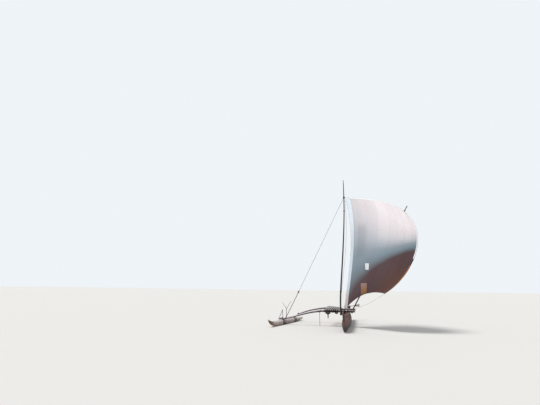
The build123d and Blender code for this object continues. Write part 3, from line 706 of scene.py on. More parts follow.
@dataclass
class Line:
    """One length of rope as a tube along points."""

    points: Points  # its middle line
    radius: float
    closed: bool = False  # whether its ends meet
    sides: int = 6  # faces round it

    LAY = 6.5  # length of the strands' full turn, in radii

    def mesh(self, first: int) -> tuple[list, list, list]:
        """Builds the tube.

        Args:
            first: Number that its first vertex will have.

        Returns:
            Vertices, faces and map coordinates for each face corner.
        """
        points = [Vector(p) for p in self.points]
        runs, count, n = self._runs(points), len(points), self.sides
        side, lay = runs[0].orthogonal().normalized(), self.LAY * self.radius
        corners, at = [], [0.0]
        for i, (point, run) in enumerate(zip(points, runs)):
            side = (side - run * side.dot(run)).normalized()
            other = run.cross(side)
            if i:
                at.append(at[-1] + (point - points[i - 1]).length / lay)
            for turn in (math.tau * k / n for k in range(n)):
                out = side * math.cos(turn) + other * math.sin(turn)
                corners.append(point + out * self.radius)
        at.append(at[-1] + (points[0] - points[-1]).length / lay)
        faces, maps = [], []
        for i in range(count if self.closed else count - 1):
            here, ahead = first + i * n, first + (i + 1) % count * n
            for k in range(n):
                m = (k + 1) % n
                faces.append((here + k, here + m, ahead + m, ahead + k))
                low, high = k / n, (k + 1) / n
                maps += [(low, at[i]), (high, at[i]), (high, at[i + 1]), (low, at[i + 1])]
        if not self.closed:
            for i, order in ((0, -1), (count - 1, 1)):
                faces.append(tuple(range(first + i * n, first + (i + 1) * n))[::order])
                maps += [(0.0, at[i])] * n
        return corners, faces, maps

    def _runs(self, points: Points) -> list[Vector]:
        """Direction of the middle line at each point.

        Args:
            points: The points.

        Returns:
            One unit vector for each.
        """
        end = len(points) - 1
        runs = []
        for i in range(end + 1):
            before = points[i - 1] if self.closed or i else points[0]
            after = points[(i + 1) % (end + 1)] if self.closed or i < end else points[-1]
            runs.append((after - before).normalized())
        return runs


def lines_piece(
    name: str, lines: Iterable[Line], finish: Finish, body: Optional[str]
) -> bpy.types.Object:
    """Makes one piece of several tubes.

    Args:
        name: Its name.
        lines: The tubes.
        finish: Its finish.
        body: The body that it rides on, or None for none.

    Returns:
        The piece.
    """
    corners, faces, maps = [], [], []
    for line in lines:
        for whole, more in zip((corners, faces, maps), line.mesh(len(corners))):
            whole += more
    return new_piece(name, corners, faces, finish, body, maps)


def straight(a: Vector, b: Vector, steps: int, sag: float = 0.0) -> list[Vector]:
    """Points of a run from a to b in steps, whose middle hangs by sag."""
    shares = [i / steps for i in range(steps + 1)]
    return [a.lerp(b, t) - Vector((0, 0, 4 * sag * t * (1 - t))) for t in shares]


def ring(middle: Vector, normal: Vector, radius: float, rope: float, count: int = 32) -> Line:
    """Round ring of rope, whose hole faces along its normal."""
    return Line([middle + out * radius for out in round_axis(normal, count)], rope, True)


def taut_loop(rim: Points, origin: Vector, normal: Vector, count: int) -> list[Vector]:
    """Tight loop round points, in a plane.

    Args:
        rim: The points.
        origin: A point of the plane.
        normal: The plane's normal.
        count: Points wanted on the loop.

    Returns:
        The loop's points, evenly spaced.
    """
    side = normal.orthogonal().normalized()
    other = normal.normalized().cross(side)
    flat = sorted({((p - origin).dot(side), (p - origin).dot(other)) for p in rim})

    def half(items: Iterable[Pair]) -> list[Pair]:
        """One side of the points' convex outline.

        Args:
            items: The points in order.

        Returns:
            The side's corners.
        """
        chain: list[Pair] = []
        for p in items:
            while len(chain) > 1:
                (x1, y1), (x2, y2) = chain[-2:]
                if (x2 - x1) * (p[1] - y1) - (y2 - y1) * (p[0] - x1) > 0:
                    break
                chain.pop()
            chain.append(p)
        return chain[:-1]

    outline = half(flat) + half(reversed(flat))
    closed = np.array([*outline, outline[0]])
    lengths = np.r_[0, np.cumsum(np.hypot(*np.diff(closed, axis=0).T))]
    wanted = np.linspace(0, lengths[-1], count, endpoint=False)
    places = zip(*(np.interp(wanted, lengths, closed[:, k]) for k in (0, 1)))
    return [origin + side * float(x) + other * float(y) for x, y in places]


@dataclass(frozen=True)
class Bar:
    """Round timber, or a leg of rope, that a lashing goes round."""

    middle: Vector  # a point of its axis
    run: Vector  # its direction
    radius: float

    RIM = 32  # points of its outline

    def outline(self, origin: Vector, normal: Vector, lift: float) -> list[Vector]:
        """Its outline where a plane cuts it.

        Args:
            origin: A point of the plane.
            normal: The plane's normal.
            lift: Distance kept from its surface.

        Returns:
            Points of the outline.
        """
        rim = [self.middle + out * (self.radius + lift) for out in round_axis(self.run, self.RIM)]
        slope = self.run.dot(normal)
        return [p + self.run * ((origin - p).dot(normal) / slope) for p in rim]


class Surfaces:
    """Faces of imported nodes, which ropes are drawn tight round."""

    RAYS = 96  # tried round a turn
    LEAD = 0.06  # each way along a timber to where its slope is read

    def __init__(self, *nodes: str) -> None:
        """Gathers the nodes' faces.

        Args:
            nodes: Their names.
        """
        corners, faces = [], []
        for name in nodes:
            mesh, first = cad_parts[name].data, len(corners)
            corners += [v.co.copy() for v in mesh.vertices]
            faces += [tuple(first + i for i in p.vertices) for p in mesh.polygons]
        self.tree = BVHTree.FromPolygons(corners, faces)

    def hit(self, start: Vector, way: Vector, reach: float) -> Optional[Vector]:
        """First point that a ray meets within its reach, or None."""
        return self.tree.ray_cast(start, way, reach)[0]

    def rim(self, middle: Vector, axis: Vector, reach: float, gap: float) -> list[Vector]:
        """Points round a middle, a gap outside the surfaces.

        Args:
            middle: A point inside the surfaces.
            axis: What the points go round.
            reach: Distance from which the surfaces are sought.
            gap: Distance kept from them.

        Returns:
            The points.
        """
        ways = round_axis(axis, self.RAYS)
        found = [(out, self.hit(middle + out * reach, -out, reach)) for out in ways]
        return [place + out * gap for out, place in found if place is not None]

    def bar(self, x: float, y: float, span: Pair, run: Vector) -> Bar:
        """Round timber that a plumb line meets.

        Args:
            x: The line's place across the boat.
            y: The line's place along the boat.
            span: Heights of its lower and upper end.
            run: The timber's direction.

        Returns:
            The timber.
        """
        low, high = span
        top = self.hit(Vector((x, y, high)), -UP, high - low)
        bottom = self.hit(Vector((x, y, low)), UP, high - low)
        level = math.hypot(run.x, run.y) / run.length
        return Bar((top + bottom) / 2, run.normalized(), (top - bottom).length / 2 * level)

    def sloped(self, x: float, y: float, span: Pair, along: Vector) -> Bar:
        """Round timber that a plumb line meets, with the timber's own slope.

        Args:
            x: The line's place across the boat.
            y: The line's place along the boat.
            span: Heights of its lower and upper end.
            along: The timber's direction seen from above.

        Returns:
            The timber.
        """
        step = along * self.LEAD
        before, after = (self.bar(x + s * step.x, y + s * step.y, span, along) for s in BOTH)
        return self.bar(x, y, span, after.middle - before.middle)

    def upright(self, middle: Vector, reach: float) -> Bar:
        """Upright timber that is met across the boat, from a reach each side of a place."""
        left, right = (self.hit(middle + LEE * (s * reach), LEE * -s, 2 * reach) for s in BOTH)
        return Bar((left + right) / 2, UP, (right - left).length / 2)


@dataclass
class Lasher:
    """A way of laying rope: how thick it is, and how even the turns are."""

    rope: float  # the rope's radius
    seed: int  # start of the small unevenness
    count: int = 44  # points on each turn
    floor: float = -1.0  # the turns stay above this height
    _rng: random.Random = field(init=False)

    PITCH = 2.06  # from turn to turn, in radii
    SNUG = 1.02  # from a timber's surface to the rope's middle, in radii
    LOOSE, NEAT = 0.3, 0.15  # unevenness of lashings and of whippings, in radii
    OVER = 2.1  # lift of turns that lie on other turns, in radii

    def __post_init__(self) -> None:
        """Starts the unevenness."""
        self._rng = random.Random(self.seed)

    def _gap(self, lift: float, uneven: float) -> float:
        """Distance of the next turn's middle line from what it goes round."""
        return self.rope * (self.SNUG + lift + self._rng.uniform(0, uneven))

    def _turn(self, rim: Points, origin: Vector, axis: Vector, count: int) -> Line:
        """One tight closed turn round points in a plane, above the floor."""
        loop = taut_loop(rim, origin, axis, count)
        return Line([Vector((p.x, p.y, max(p.z, self.floor))) for p in loop], self.rope, True)

    def turns(
        self, bars: Sequence[Bar], middle: Vector, normal: Vector, turns: int, lift: float = 0.0
    ) -> list[Line]:
        """Tight turns side by side round bars.

        Args:
            bars: The bars.
            middle: Middle of the lashing.
            normal: The way from turn to turn.
            turns: How many there are.
            lift: Distance kept from the bars, in radii of the rope.

        Returns:
            One closed line for each turn.
        """
        axis = normal.normalized()
        lines = []
        for i in range(turns):
            origin = middle + axis * ((i - (turns - 1) / 2) * self.PITCH * self.rope)
            gap = self._gap(lift, self.LOOSE)
            rim = [p for bar in bars for p in bar.outline(origin, axis, gap)]
            lines.append(self._turn(rim, origin, axis, self.count))
        return lines

    def wind(self, bar: Bar, turns: int, along: float = 0.0, lift: float = 0.0) -> list[Line]:
        """Turns round one bar, some way along it from its middle."""
        return self.turns([bar], bar.middle + bar.run * along, bar.run, turns, lift)

    def cross(self, first: Bar, second: Bar, turns: int, lift: float = 0.0) -> list[Line]:
        """Cross lashing where two bars meet.

        Args:
            first: One bar.
            second: The other.
            turns: Turns each way.
            lift: Distance kept from the bars, in radii of the rope.

        Returns:
            One closed line for each turn.
        """
        bars, middle = [first, second], first.middle.lerp(second.middle, 0.5)
        a, b = first.run.normalized(), second.run.normalized()
        under = self.turns(bars, middle, a + b, turns, lift)
        return under + self.turns(bars, middle, a - b, turns, lift + self.OVER)

    def whip(
        self, wood: Surfaces, start: Vector, end: Vector, reach: float, lift: float = 0.0
    ) -> list[Line]:
        """Turns laid side by side from one point to another.

        Args:
            wood: What they are wound on.
            start: Near end of the first turn.
            end: Far end of the last turn.
            reach: Distance from which each turn is drawn in.
            lift: Distance kept from the wood, in radii of the rope.

        Returns:
            One closed line for each turn.
        """
        run = end - start
        turns = max(2, round(run.length / (self.PITCH * self.rope)))
        lines = []
        for i in range(turns):
            middle = start + run * ((i + 0.5) / turns)
            rim = wood.rim(middle, run.normalized(), reach, self._gap(lift, self.NEAT))
            lines.append(self._turn(rim, middle, run.normalized(), wood.RAYS // 2))
        return lines


@dataclass
class Studio:
    """Floor, lamp and the camera at the photograph's place."""

    eye: Triple = (1.147, -27.241, 2.578)  # the camera's place
    heading: float = 14.894  # degrees that it looks to the left of +Y
    pitch: float = 14.357  # degrees that it looks up
    roll: float = 0.75  # degrees that the horizon drops to the right
    lens: float = 22.478  # millimetres, on a sensor 36 mm wide
    clip: Pair = (0.1, 3000.0)  # nearest and farthest that it sees
    floor: float = 900.0  # half width of the floor
    sun: Pair = (20.0, -22.0)  # degrees that the lamp is turned about X and Y
    soft: float = 18.0  # degrees that the lamp spreads over
    power: float = 2.1  # the lamp's strength
    sky: tuple[Triple, float] = ((0.93, 0.96, 1.0), 0.5)  # linear colour, strength: the light
    backdrop: tuple[Triple, float] = ((0.86, 0.90, 0.94), 1.0)  # the same: what is seen

    def build(self) -> None:
        """Makes the camera, floor, lamp and world."""
        self._camera()
        r = self.floor
        corners = [(-r, -r, 0), (r, -r, 0), (r, r, 0), (-r, r, 0)]
        new_piece("floor", corners, [(0, 1, 2, 3)], Kit.FLOOR, None)
        self._lamp()
        self._world()
        bpy.context.scene.view_settings.view_transform = "Standard"

    def _lamp(self) -> None:
        """Makes one soft high lamp."""
        lamp = bpy.data.lights.new("high_lamp", "SUN")
        lamp.energy, lamp.angle = self.power, math.radians(self.soft)
        holder = bpy.data.objects.new("high_lamp", lamp)
        holder.rotation_euler = (*(math.radians(a) for a in self.sun), 0)
        bpy.context.scene.collection.objects.link(holder)

    def _world(self) -> None:
        """Makes an even pale world, and the paler one that is seen."""
        world = bpy.data.worlds.new("pale_world")
        bpy.context.scene.world = world
        tree = Tree(world)
        rays = ("Is Camera Ray", "Is Glossy Ray", "Is Transmission Ray")
        seen = reduce(Wire.larger, (tree.add("ShaderNodeLightPath", {}, {}, r) for r in rays))
        lit, shown = (
            tree.add("ShaderNodeBackground", {}, {"Color": (*colour, 1.0), "Strength": power})
            for colour, power in (self.sky, self.backdrop)
        )
        mixed = tree.add("ShaderNodeMixShader", {}, {0: seen, 1: lit, 2: shown})
        tree.end("ShaderNodeOutputWorld", mixed)

    def _camera(self) -> None:
        """Makes the camera."""
        data = bpy.data.cameras.new("camera")
        data.lens, data.sensor_width = self.lens, 36.0
        data.clip_start, data.clip_end = self.clip
        camera = bpy.data.objects.new("camera", data)
        yaw, pitch, roll = (math.radians(a) for a in (-self.heading, self.pitch, self.roll))
        level = math.cos(pitch)
        look = Vector((math.sin(yaw) * level, math.cos(yaw) * level, math.sin(pitch)))
        right = Vector((math.cos(yaw), -math.sin(yaw), 0))
        up = right.cross(look)
        tilted = right * math.cos(roll) + up * math.sin(roll)
        upright = up * math.cos(roll) - right * math.sin(roll)
        turn = Matrix((tilted, upright, -look)).transposed()
        camera.matrix_world = Matrix.Translation(self.eye) @ turn.to_4x4()
        bpy.context.scene.collection.objects.link(camera)
        bpy.context.scene.camera = camera


class Boom:
    """One boom as ropes find it."""

    SPAN = (0.02, 1.6)  # heights between which its timber is sought

    def __init__(self, node: str, y: float) -> None:
        """Gathers the faces of the boom's node, at its place along the hull."""
        self.y, self.surfaces = y, Surfaces(node)

    def bar(self, x: float) -> Bar:
        """The boom at a distance across the boat."""
        return self.surfaces.sloped(x, self.y, self.SPAN, LEE)


@dataclass(frozen=True)
class Hank:
    """Spare line hung in turns over the fore boom, between the poles of the rack."""

    name: str  # the piece's name
    gaps: tuple[float, ...]  # middles of the gaps between poles that its turns pass through
    spread: tuple[float, ...]  # places of the turns in a gap
    drop: float  # how far the turns hang below the boom's axis
    long_drop: float  # how much further they hang near the middle
    narrow: float  # half width of the part that hangs further
    length: float  # the line's real length
    rope: float = 0.011  # its radius

    STEPS = 12  # points of a turn
    LAYER = 0.027  # from the inner turns to the outer
    TOP = 0.006  # inner turns above the boom
    SIDE = 0.030  # inner turns beside the boom and its lashings
    TIED = 0.17  # where the turns are tied, below the boom's axis

    def build(self, boom: Boom) -> None:
        """Makes the line and the turns that tie it.

        Args:
            boom: The boom that it hangs on.
        """
        points = self._spun(self._route(boom))
        line = lines_piece(self.name, [Line(points, self.rope, sides=8)], Kit.TARRED, HULL)
        tuple(points[0])
        [tuple(p) for p in points]
        bar = boom.bar(sum(self.gaps) / len(self.gaps))
        ends = (self.gaps[0] + self.spread[0], self.gaps[-1] + self.spread[-1])
        side = bar.radius + self.SIDE + self.rope + self.LAYER
        tied = Vector((bar.middle.x, boom.y, bar.middle.z - self.TIED))
        legs = [
            Bar(Vector((x, boom.y + s * side, tied.z)), UP, self.rope) for x in ends for s in BOTH
        ]
        ties = Lasher(0.006, seed=71).turns(legs, tied, UP, turns=3)
        lines_piece(f"{self.name}_tie", ties, Kit.COIR, HULL)

    def _route(self, boom: Boom) -> list[Vector]:
        """Control points of the line's spline.

        Args:
            boom: The boom that it hangs on.

        Returns:
            The points.
        """
        places = [gap + step for gap in self.gaps for step in self.spread]
        middle = sum(self.gaps) / len(self.gaps)
        route = []
        for layer, order in enumerate((places, places[::-1])):
            out = self.rope + layer * self.LAYER
            for place, following in zip(order, [*order[1:], order[-1]]):
                for share in (i / self.STEPS for i in range(self.STEPS)):
                    slide = min(max((share - 0.25) / 0.5, 0.0), 1.0)
                    x = place + (following - place) * slide
                    bar = boom.bar(x)
                    far = self.long_drop * math.exp(-(((x - middle) / self.narrow) ** 2))
                    high, low = bar.radius + self.TOP + out, self.drop + far + out
                    rise, reach = math.cos(math.tau * share), math.sin(math.tau * share)
                    y = boom.y + reach * (bar.radius + self.SIDE + out)
                    z = bar.middle.z + rise * (high if rise > 0 else low)
                    route.append(Vector((x, y, z)))
        return route

    def _spun(self, route: Points) -> list[Vector]:
        """Points of the smooth line that a route controls.

        Args:
            route: The spline's control points.

        Returns:
            Points close together along it.
        """
        curve = bpy.data.curves.new(f"{self.name}_guide", "CURVE")
        curve.dimensions, curve.resolution_u = "3D", 4
        spline = curve.splines.new("NURBS")
        spline.points.add(len(route) - 1)
        for point, place in zip(spline.points, route):
            point.co = (*place, 1.0)
        spline.order_u = 3
        spline.use_endpoint_u = True
        guide = bpy.data.objects.new(f"{self.name}_guide", curve)
        mesh = bpy.data.meshes.new_from_object(guide)
        points = [v.co.copy() for v in mesh.vertices]
        bpy.data.meshes.remove(mesh)
        bpy.data.objects.remove(guide)
        bpy.data.curves.remove(curve)
        return points


HANKS = (
    Hank(
        "hung_spare_line", (-1.432, -1.296, -1.160), (-0.025, 0.0, 0.025),
        drop=0.17, long_drop=0.36, narrow=0.045, length=18.6,
    ),
    Hank(
        "hung_short_line", (-0.752, -0.616), (-0.013, 0.013),
        drop=0.13, long_drop=0.06, narrow=0.09, length=7.1,
    ),
)


@dataclass
class Assembly:
    """A sub-assembly with ropes that go to the booms."""

    fore: Boom
    aft: Boom


@dataclass
class HullDress(Assembly):
    """Finish of the log, planks, rails and stems, and the lashings that hold the booms down."""

    leg: float = 0.1305  # place of each lashing from the hull's middle
    thwart_z: float = 0.8866  # height of the thwarts' axes under the booms
    thwart_r: float = 0.028  # the thwarts' radius
    waist: float = 0.078  # from there up to the turns that draw the legs together
    legs: Pair = (0.0195, 0.05)  # half the distance between the legs, across and along

    def build(self) -> None:
        """Dresses the hull's nodes and lashes the booms."""
        dress(Kit.LOG, "log_fore_end", "log_fore", "log_middle", "log_aft", "log_aft_end")
        dress(Kit.BLOCK, "stem_fore", "stem_aft", "thole_blocks")
        dress(Kit.STEP, "mast_step", "sprit_step")
        for side in ("windward", "lee"):
            dress(Kit.PLANK, f"strake_lower_{side}", f"strake_upper_{side}", f"rail_{side}")
        dress(Kit.THWART, "thwarts")
        dress(Kit.LOOM, "thole_pins")
        dress(Kit.PALE_COIR, "seam_battens")
        piece = lines_piece("hull_lashing_rope", self._lashings(), Kit.COIR, HULL)
        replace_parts(piece, "hull_lashings")

    def _lashings(self) -> list[Line]:
        """Turns round boom and thwart, drawn together by turns round their legs.

        Returns:
            The turns.
        """
        lasher = Lasher(0.0064, seed=11, count=60)
        across, along = self.legs
        lines = []
        for boom in (self.fore, self.aft):
            for x in (-self.leg, self.leg):
                over = boom.bar(x)
                under = Bar(Vector((x, boom.y, self.thwart_z)), LEE, self.thwart_r)
                lines += lasher.turns([over, under], over.middle, LEE, turns=4)
                waist = under.middle + UP * self.waist
                legs = [
                    Bar(waist + Vector((a * across, b * along, 0)), UP, lasher.rope)
                    for a in BOTH for b in BOTH
                ]
                lines += lasher.turns(legs, waist, UP, turns=3, lift=0.2)
        return lines


@dataclass
class OutriggerDress(Assembly):
    """Finish of the booms, float, rack and sticks, with their lashings."""

    seats: tuple[Triple, ...] = (  # the float under each boom: its x, z and radius
        (-4.731, 0.190, 0.196), (-4.319, 0.178, 0.180),
    )
    toe_in: float = 9.74  # degrees that the float turns in
    band: Pair = (0.048, 0.104)  # near and far edge of each float band from the boom
    first_pole: float = -1.5  # place of the first rack pole
    pitch: float = 0.136  # between the poles
    poles: int = 8
    pole_span: Pair = (0.3, 1.7)  # heights between which a pole is sought
    heavy: tuple[int, ...] = (4, 5, 6)  # poles with heavier dark lashings on the fore boom
    beside: float = 0.125  # from the boom to the turns beside those
    prop: Pair = (-1.906, 0.015)  # place of the prop stick under the fore boom, and radius
    wound: float = -3.885  # middle of the line that is wound on the aft boom
    sticks_y: float = -1.23  # place of the crutch sticks along the boat
    sticks: tuple = (  # each whipping's lower and upper x and z, and what it is drawn in from
        (-4.654, 0.500, -4.657, 0.560, 0.07),
        (-4.389, 0.560, -4.388, 0.620, 0.07),
        (-4.700, 0.990, -4.704, 1.050, 0.14),
        (-4.379, 1.065, -4.378, 1.125, 0.07),
    )

    REACH = 0.45  # what the float's bands are drawn in from

    def build(self) -> None:
        """Dresses the outrigger's nodes and lashes them."""
        dress(Kit.BOOM, "boom_fore", "boom_aft")
        dress(Kit.FLOAT, "outrigger_float")
        dress(Kit.POLE, "rack_poles")
        dress(Kit.STICK, "crutch_sticks")
        dress(Kit.PROP, "prop_stick")
        piece = lines_piece("float_lashing_rope", self._float_lashings(), Kit.TARRED, HULL)
        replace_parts(piece, "float_lashings")
        self._rack()
        self._sticks()

    def _float_lashings(self) -> list[Line]:
        """Bands round the float each side of a boom, and turns that cross over it.

        Returns:
            The turns.
        """
        wood = Surfaces("outrigger_float")
        turn = math.radians(self.toe_in)
        along = Vector((math.sin(turn), math.cos(turn), 0))
        lasher = Lasher(0.0068, seed=23, count=96, floor=0.009)
        lines = []
        for boom, (x, z, radius) in zip((self.fore, self.aft), self.seats):
            middle = Vector((x, boom.y, z))
            for side in BOTH:
                near, far = (middle + along * (side * d) for d in self.band)
                lines += lasher.whip(wood, near, far, self.REACH)
            bars = Bar(middle, along, radius), boom.bar(x)
            lines += lasher.cross(*bars, turns=3, lift=lasher.OVER)
        return lines

    def _rack(self) -> None:
        """Lashes every pole of the rack to both booms."""
        wood = Surfaces("rack_poles")
        light, dark = Lasher(0.006, seed=31), Lasher(0.0095, seed=37)
        lines, heavy = [], []
        for boom in (self.fore, self.aft):
            for i in range(self.poles):
                x = self.first_pole + self.pitch * i
                pole = wood.sloped(x, boom.y, self.pole_span, AFT)
                if boom is self.fore and i in self.heavy:
                    heavy += dark.cross(pole, boom.bar(x), turns=3)
                    heavy += dark.wind(pole, turns=4, along=self.beside)
                else:
                    lines += light.cross(pole, boom.bar(x), turns=3)
        lines_piece("rack_lashing_rope", lines, Kit.COIR, HULL)
        lines_piece("rack_heavy_lashings", heavy, Kit.TARRED, HULL)

    def _sticks(self) -> None:
        """Lashes the prop stick and the crutches, and winds spare line on the aft boom."""
        wood, lasher = Surfaces("crutch_sticks"), Lasher(0.005, seed=41)
        boom = self.fore.bar(self.prop[0])
        under = Bar(boom.middle - UP * boom.radius, UP, self.prop[1])
        lines = lasher.cross(boom, under, turns=3)
        for x1, z1, x2, z2, reach in self.sticks:
            low, high = (Vector((x, self.sticks_y, z)) for x, z in ((x1, z1), (x2, z2)))
            lines += lasher.whip(wood, low, high, reach)
        lines_piece("stick_lashing_rope", lines, Kit.COIR, HULL)
        boom, thick = self.aft.bar(self.wound), Lasher(0.011, seed=43)
        spare = thick.wind(boom, turns=8) + thick.wind(boom, turns=5, lift=thick.OVER)
        lines_piece("wound_spare_line", spare, Kit.TARRED, HULL)


@dataclass
class StayDress(Assembly):
    """Windward stay, its deadeye and the lanyard that holds it down."""

    deadeye: Triple = (-3.459, -1.178, 2.372)  # its middle
    rim: float = 0.046  # its radius
    half: float = 0.026  # half its thickness
    foot: float = -4.453  # place of the lanyard on the fore boom
    rope: float = 0.010  # the stay's radius
    short: float = 0.055  # what the stay's top ends short of the mast's middle
    bend: float = 0.34  # share of the stay from its foot to a point that is worked out but not used
    served: float = 0.07  # from its foot to the turns that close its eye
    neck: float = 0.14  # from the deadeye to the turns that hold the loops together
    loops: float = 0.034  # half the distance between the loops there
    bands: float = 0.038  # from the lanyard to the turns beside it on the boom

    def build(self) -> None:
        """Makes the ropes and dresses the deadeye."""
        dress(Kit.MAST, "stay_block")
        deadeye, throat = Vector(self.deadeye), Vector(THROAT)
        run = (throat - deadeye).normalized()
        start, end = deadeye + run * (self.rim + 2 * self.rope), throat - run * self.short
        line = Line(straight(start, end, steps=72), self.rope, sides=8)
        stay = lines_piece("windward_stay_rope", [line], Kit.TARRED, None)
        bent = deadeye.lerp(throat, self.bend)
        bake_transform(stay)
        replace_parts(stay, "windward_stay")
        fittings = [ring(deadeye, AFT, self.rim + self.rope, self.rope, 40)]
        serving = Lasher(0.004, seed=53, count=20)
        fittings += serving.wind(Bar(start, run, self.rope), turns=7, along=self.served)
        lines_piece("deadeye_strop", fittings, Kit.TARRED, HULL)
        lanyard = lines_piece("stay_lanyard_rope", self._lanyard(deadeye), Kit.COIR, HULL)
        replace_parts(lanyard, "stay_lanyard")

    def _lanyard(self, deadeye: Vector) -> list[Line]:
        """Loops from the boom through the deadeye, with a hitch, and turns each side of them.

        Args:
            deadeye: The deadeye's middle.

        Returns:
            The turns.
        """
        boom = self.fore.bar(self.foot)
        up = (deadeye - boom.middle).normalized()
        normal = up.cross(AFT).normalized()
        lasher = Lasher(0.007, seed=59, count=280)
        rope = lasher.rope
        faces = [deadeye + AFT * (s * (self.half + rope)) for s in BOTH]
        lines = []
        for side in BOTH:
            origin = boom.middle + normal * (side * lasher.PITCH / 2 * rope)
            rim = boom.outline(origin, normal, rope) + faces
            lines.append(Line(taut_loop(rim, origin, normal, lasher.count), rope, True))
        neck = deadeye - up * self.neck
        legs = [Bar(neck + AFT * (s * self.loops), up, 2 * rope) for s in BOTH]
        lines += Lasher(0.006, seed=61).turns(legs, neck, up, turns=4)
        band = Lasher(0.007, seed=67)
        return lines + [line for s in BOTH for line in band.wind(boom, 3, s * self.bands)]


@dataclass
class RigDress(Assembly):
    """Finish of the mast and sprit, with the ropes on them."""

    lower: Triple = (0.176, -1.365, 8.432)  # middle of the lashing below the throat's
    peak: Triple = (4.245, -3.296, 7.807)  # middle of the peak lashing on the sprit
    tack: Triple = (-0.110, -1.360, 1.210)  # the sail's lower corner at the mast
    clew: Triple = (2.580, -3.900, 2.380)  # its lower corner away from the mast
    whipping: Triple = (0.075, 0.045, 0.085)  # half lengths at throat, lower and peak
    riding: Pair = (0.04, 0.02)  # from the throat down and up: turns over its whipping
    reach: float = 0.12  # what the whippings are drawn in from
    belay: float = 2.45  # height at which the halyard is made fast
    sought: Pair = (-0.3, 0.6)  # where across the boat the mast is sought there, and reach
    stand: Triple = (0.8, 0.6, 0.0)  # the way from the mast's middle to the halyard's foot
    off: float = 0.01  # from the mast's surface to it
    inboard: float = 0.024  # from the tack inboard to its turns, clear of the hull's lashing
    above: float = 0.014  # from the boom up to a point that is worked out but not used
    eye: float = 0.012  # radius of what the tack's turns take hold of
    fall: float = 0.007  # the halyard's radius
    block: Triple = (0.052, -0.02, -0.10)  # from the throat to the halyard's top
    slack: float = 0.21  # how far the halyard bows away to lee
    bow: float = 0.85  # less than 1 where it bows most above its middle
    sheet_x: float = 0.55  # place of the sheet on the aft boom
    made_fast: float = 0.006  # from the boom up to the sheet's end in its hitch
    sheet_r: float = 0.005  # the sheet's radius
    sheet_sag: float = 0.12  # how far its middle hangs

    def build(self) -> None:
        """Dresses the spars and makes their ropes."""
        dress(Kit.MAST, "mast", "mast_truck")
        dress(Kit.SPRIT, "sprit")
        mast, throat = Surfaces("mast"), Vector(THROAT)
        lasher = Lasher(0.008, seed=73)
        upper, low, tip = self.whipping
        turns = []
        for middle, half in ((throat, upper), (Vector(self.lower), low)):
            turns += lasher.whip(mast, middle - UP * half, middle + UP * half, self.reach)
        down, up = self.riding
        turns += Lasher(0.010, seed=79).whip(
            mast, throat - UP * down, throat + UP * up, self.reach, lift=1.6
        )
        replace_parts(lines_piece("mast_whipping", turns, Kit.TARRED, RIG), "mast_lashings")
        peak, along = Vector(self.peak), Vector(Grain.SPRIT.value) * tip
        turns = Lasher(0.0065, seed=83).whip(
            Surfaces("sprit"), peak - along, peak + along, self.reach
        )
        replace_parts(lines_piece("peak_whipping", turns, Kit.TARRED, RIG), "peak_lashing")
        self._halyard(mast, throat)
        self._tack()
        self._sheet()

    def _halyard(self, mast: Surfaces, throat: Vector) -> None:
        """Slack halyard to lee of the mast, with its belaying turns.

        Args:
            mast: The mast's faces.
            throat: Middle of the throat lashing.
        """
        x, reach = self.sought
        foot = mast.upright(Vector((x, throat.y, self.belay)), reach)
        beside = foot.middle + Vector(self.stand) * (foot.radius + self.off)
        fall = Bar(beside, UP, self.fall)
        top, steps = throat + Vector(self.block), 60
        bow = [
            point + LEE * (self.slack * math.sin(math.pi * (i / steps) ** self.bow))
            for i, point in enumerate(straight(top, beside, steps))
        ]
        turns = Lasher(0.007, seed=89).turns([foot, fall], foot.middle, UP, turns=6)
        lines_piece("halyard", [Line(bow, self.fall), *turns], Kit.TARRED, RIG)

    def _tack(self) -> None:
        """Lashing that holds the sail's lower corner at the mast to the fore boom."""
        corner = Vector(self.tack)
        boom = self.fore.bar(corner.x)
        hold = Bar(corner, boom.run, self.eye)
        inboard = boom.run * math.copysign(self.inboard, boom.run.x)
        middle = boom.middle.lerp(corner, 0.5) + inboard
        lasher = Lasher(0.006, seed=97, count=80)
        turns = lasher.turns([boom, hold], middle, boom.run, turns=3)
        tack = lines_piece("tack_lashing", turns, Kit.TARRED, None)
        share = 1 - (boom.radius + self.above) / (boom.middle - corner).length
        near = corner.lerp(boom.middle, share)
        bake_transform(tack)

    def _sheet(self) -> None:
        """Sheet from the clew to its hitch on the aft boom."""
        clew, boom = Vector(self.clew), self.aft.bar(self.sheet_x)
        end = boom.middle + UP * (boom.radius + self.made_fast)
        line = Line(straight(clew, end, steps=48, sag=self.sheet_sag), self.sheet_r)
        sheet = lines_piece("sheet", [line], Kit.PALE_COIR, None)
        tuple(clew)
        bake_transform(sheet)
        hitch = Lasher(self.sheet_r, seed=101).wind(boom, turns=6)
        lines_piece("sheet_hitch", hitch, Kit.PALE_COIR, HULL)


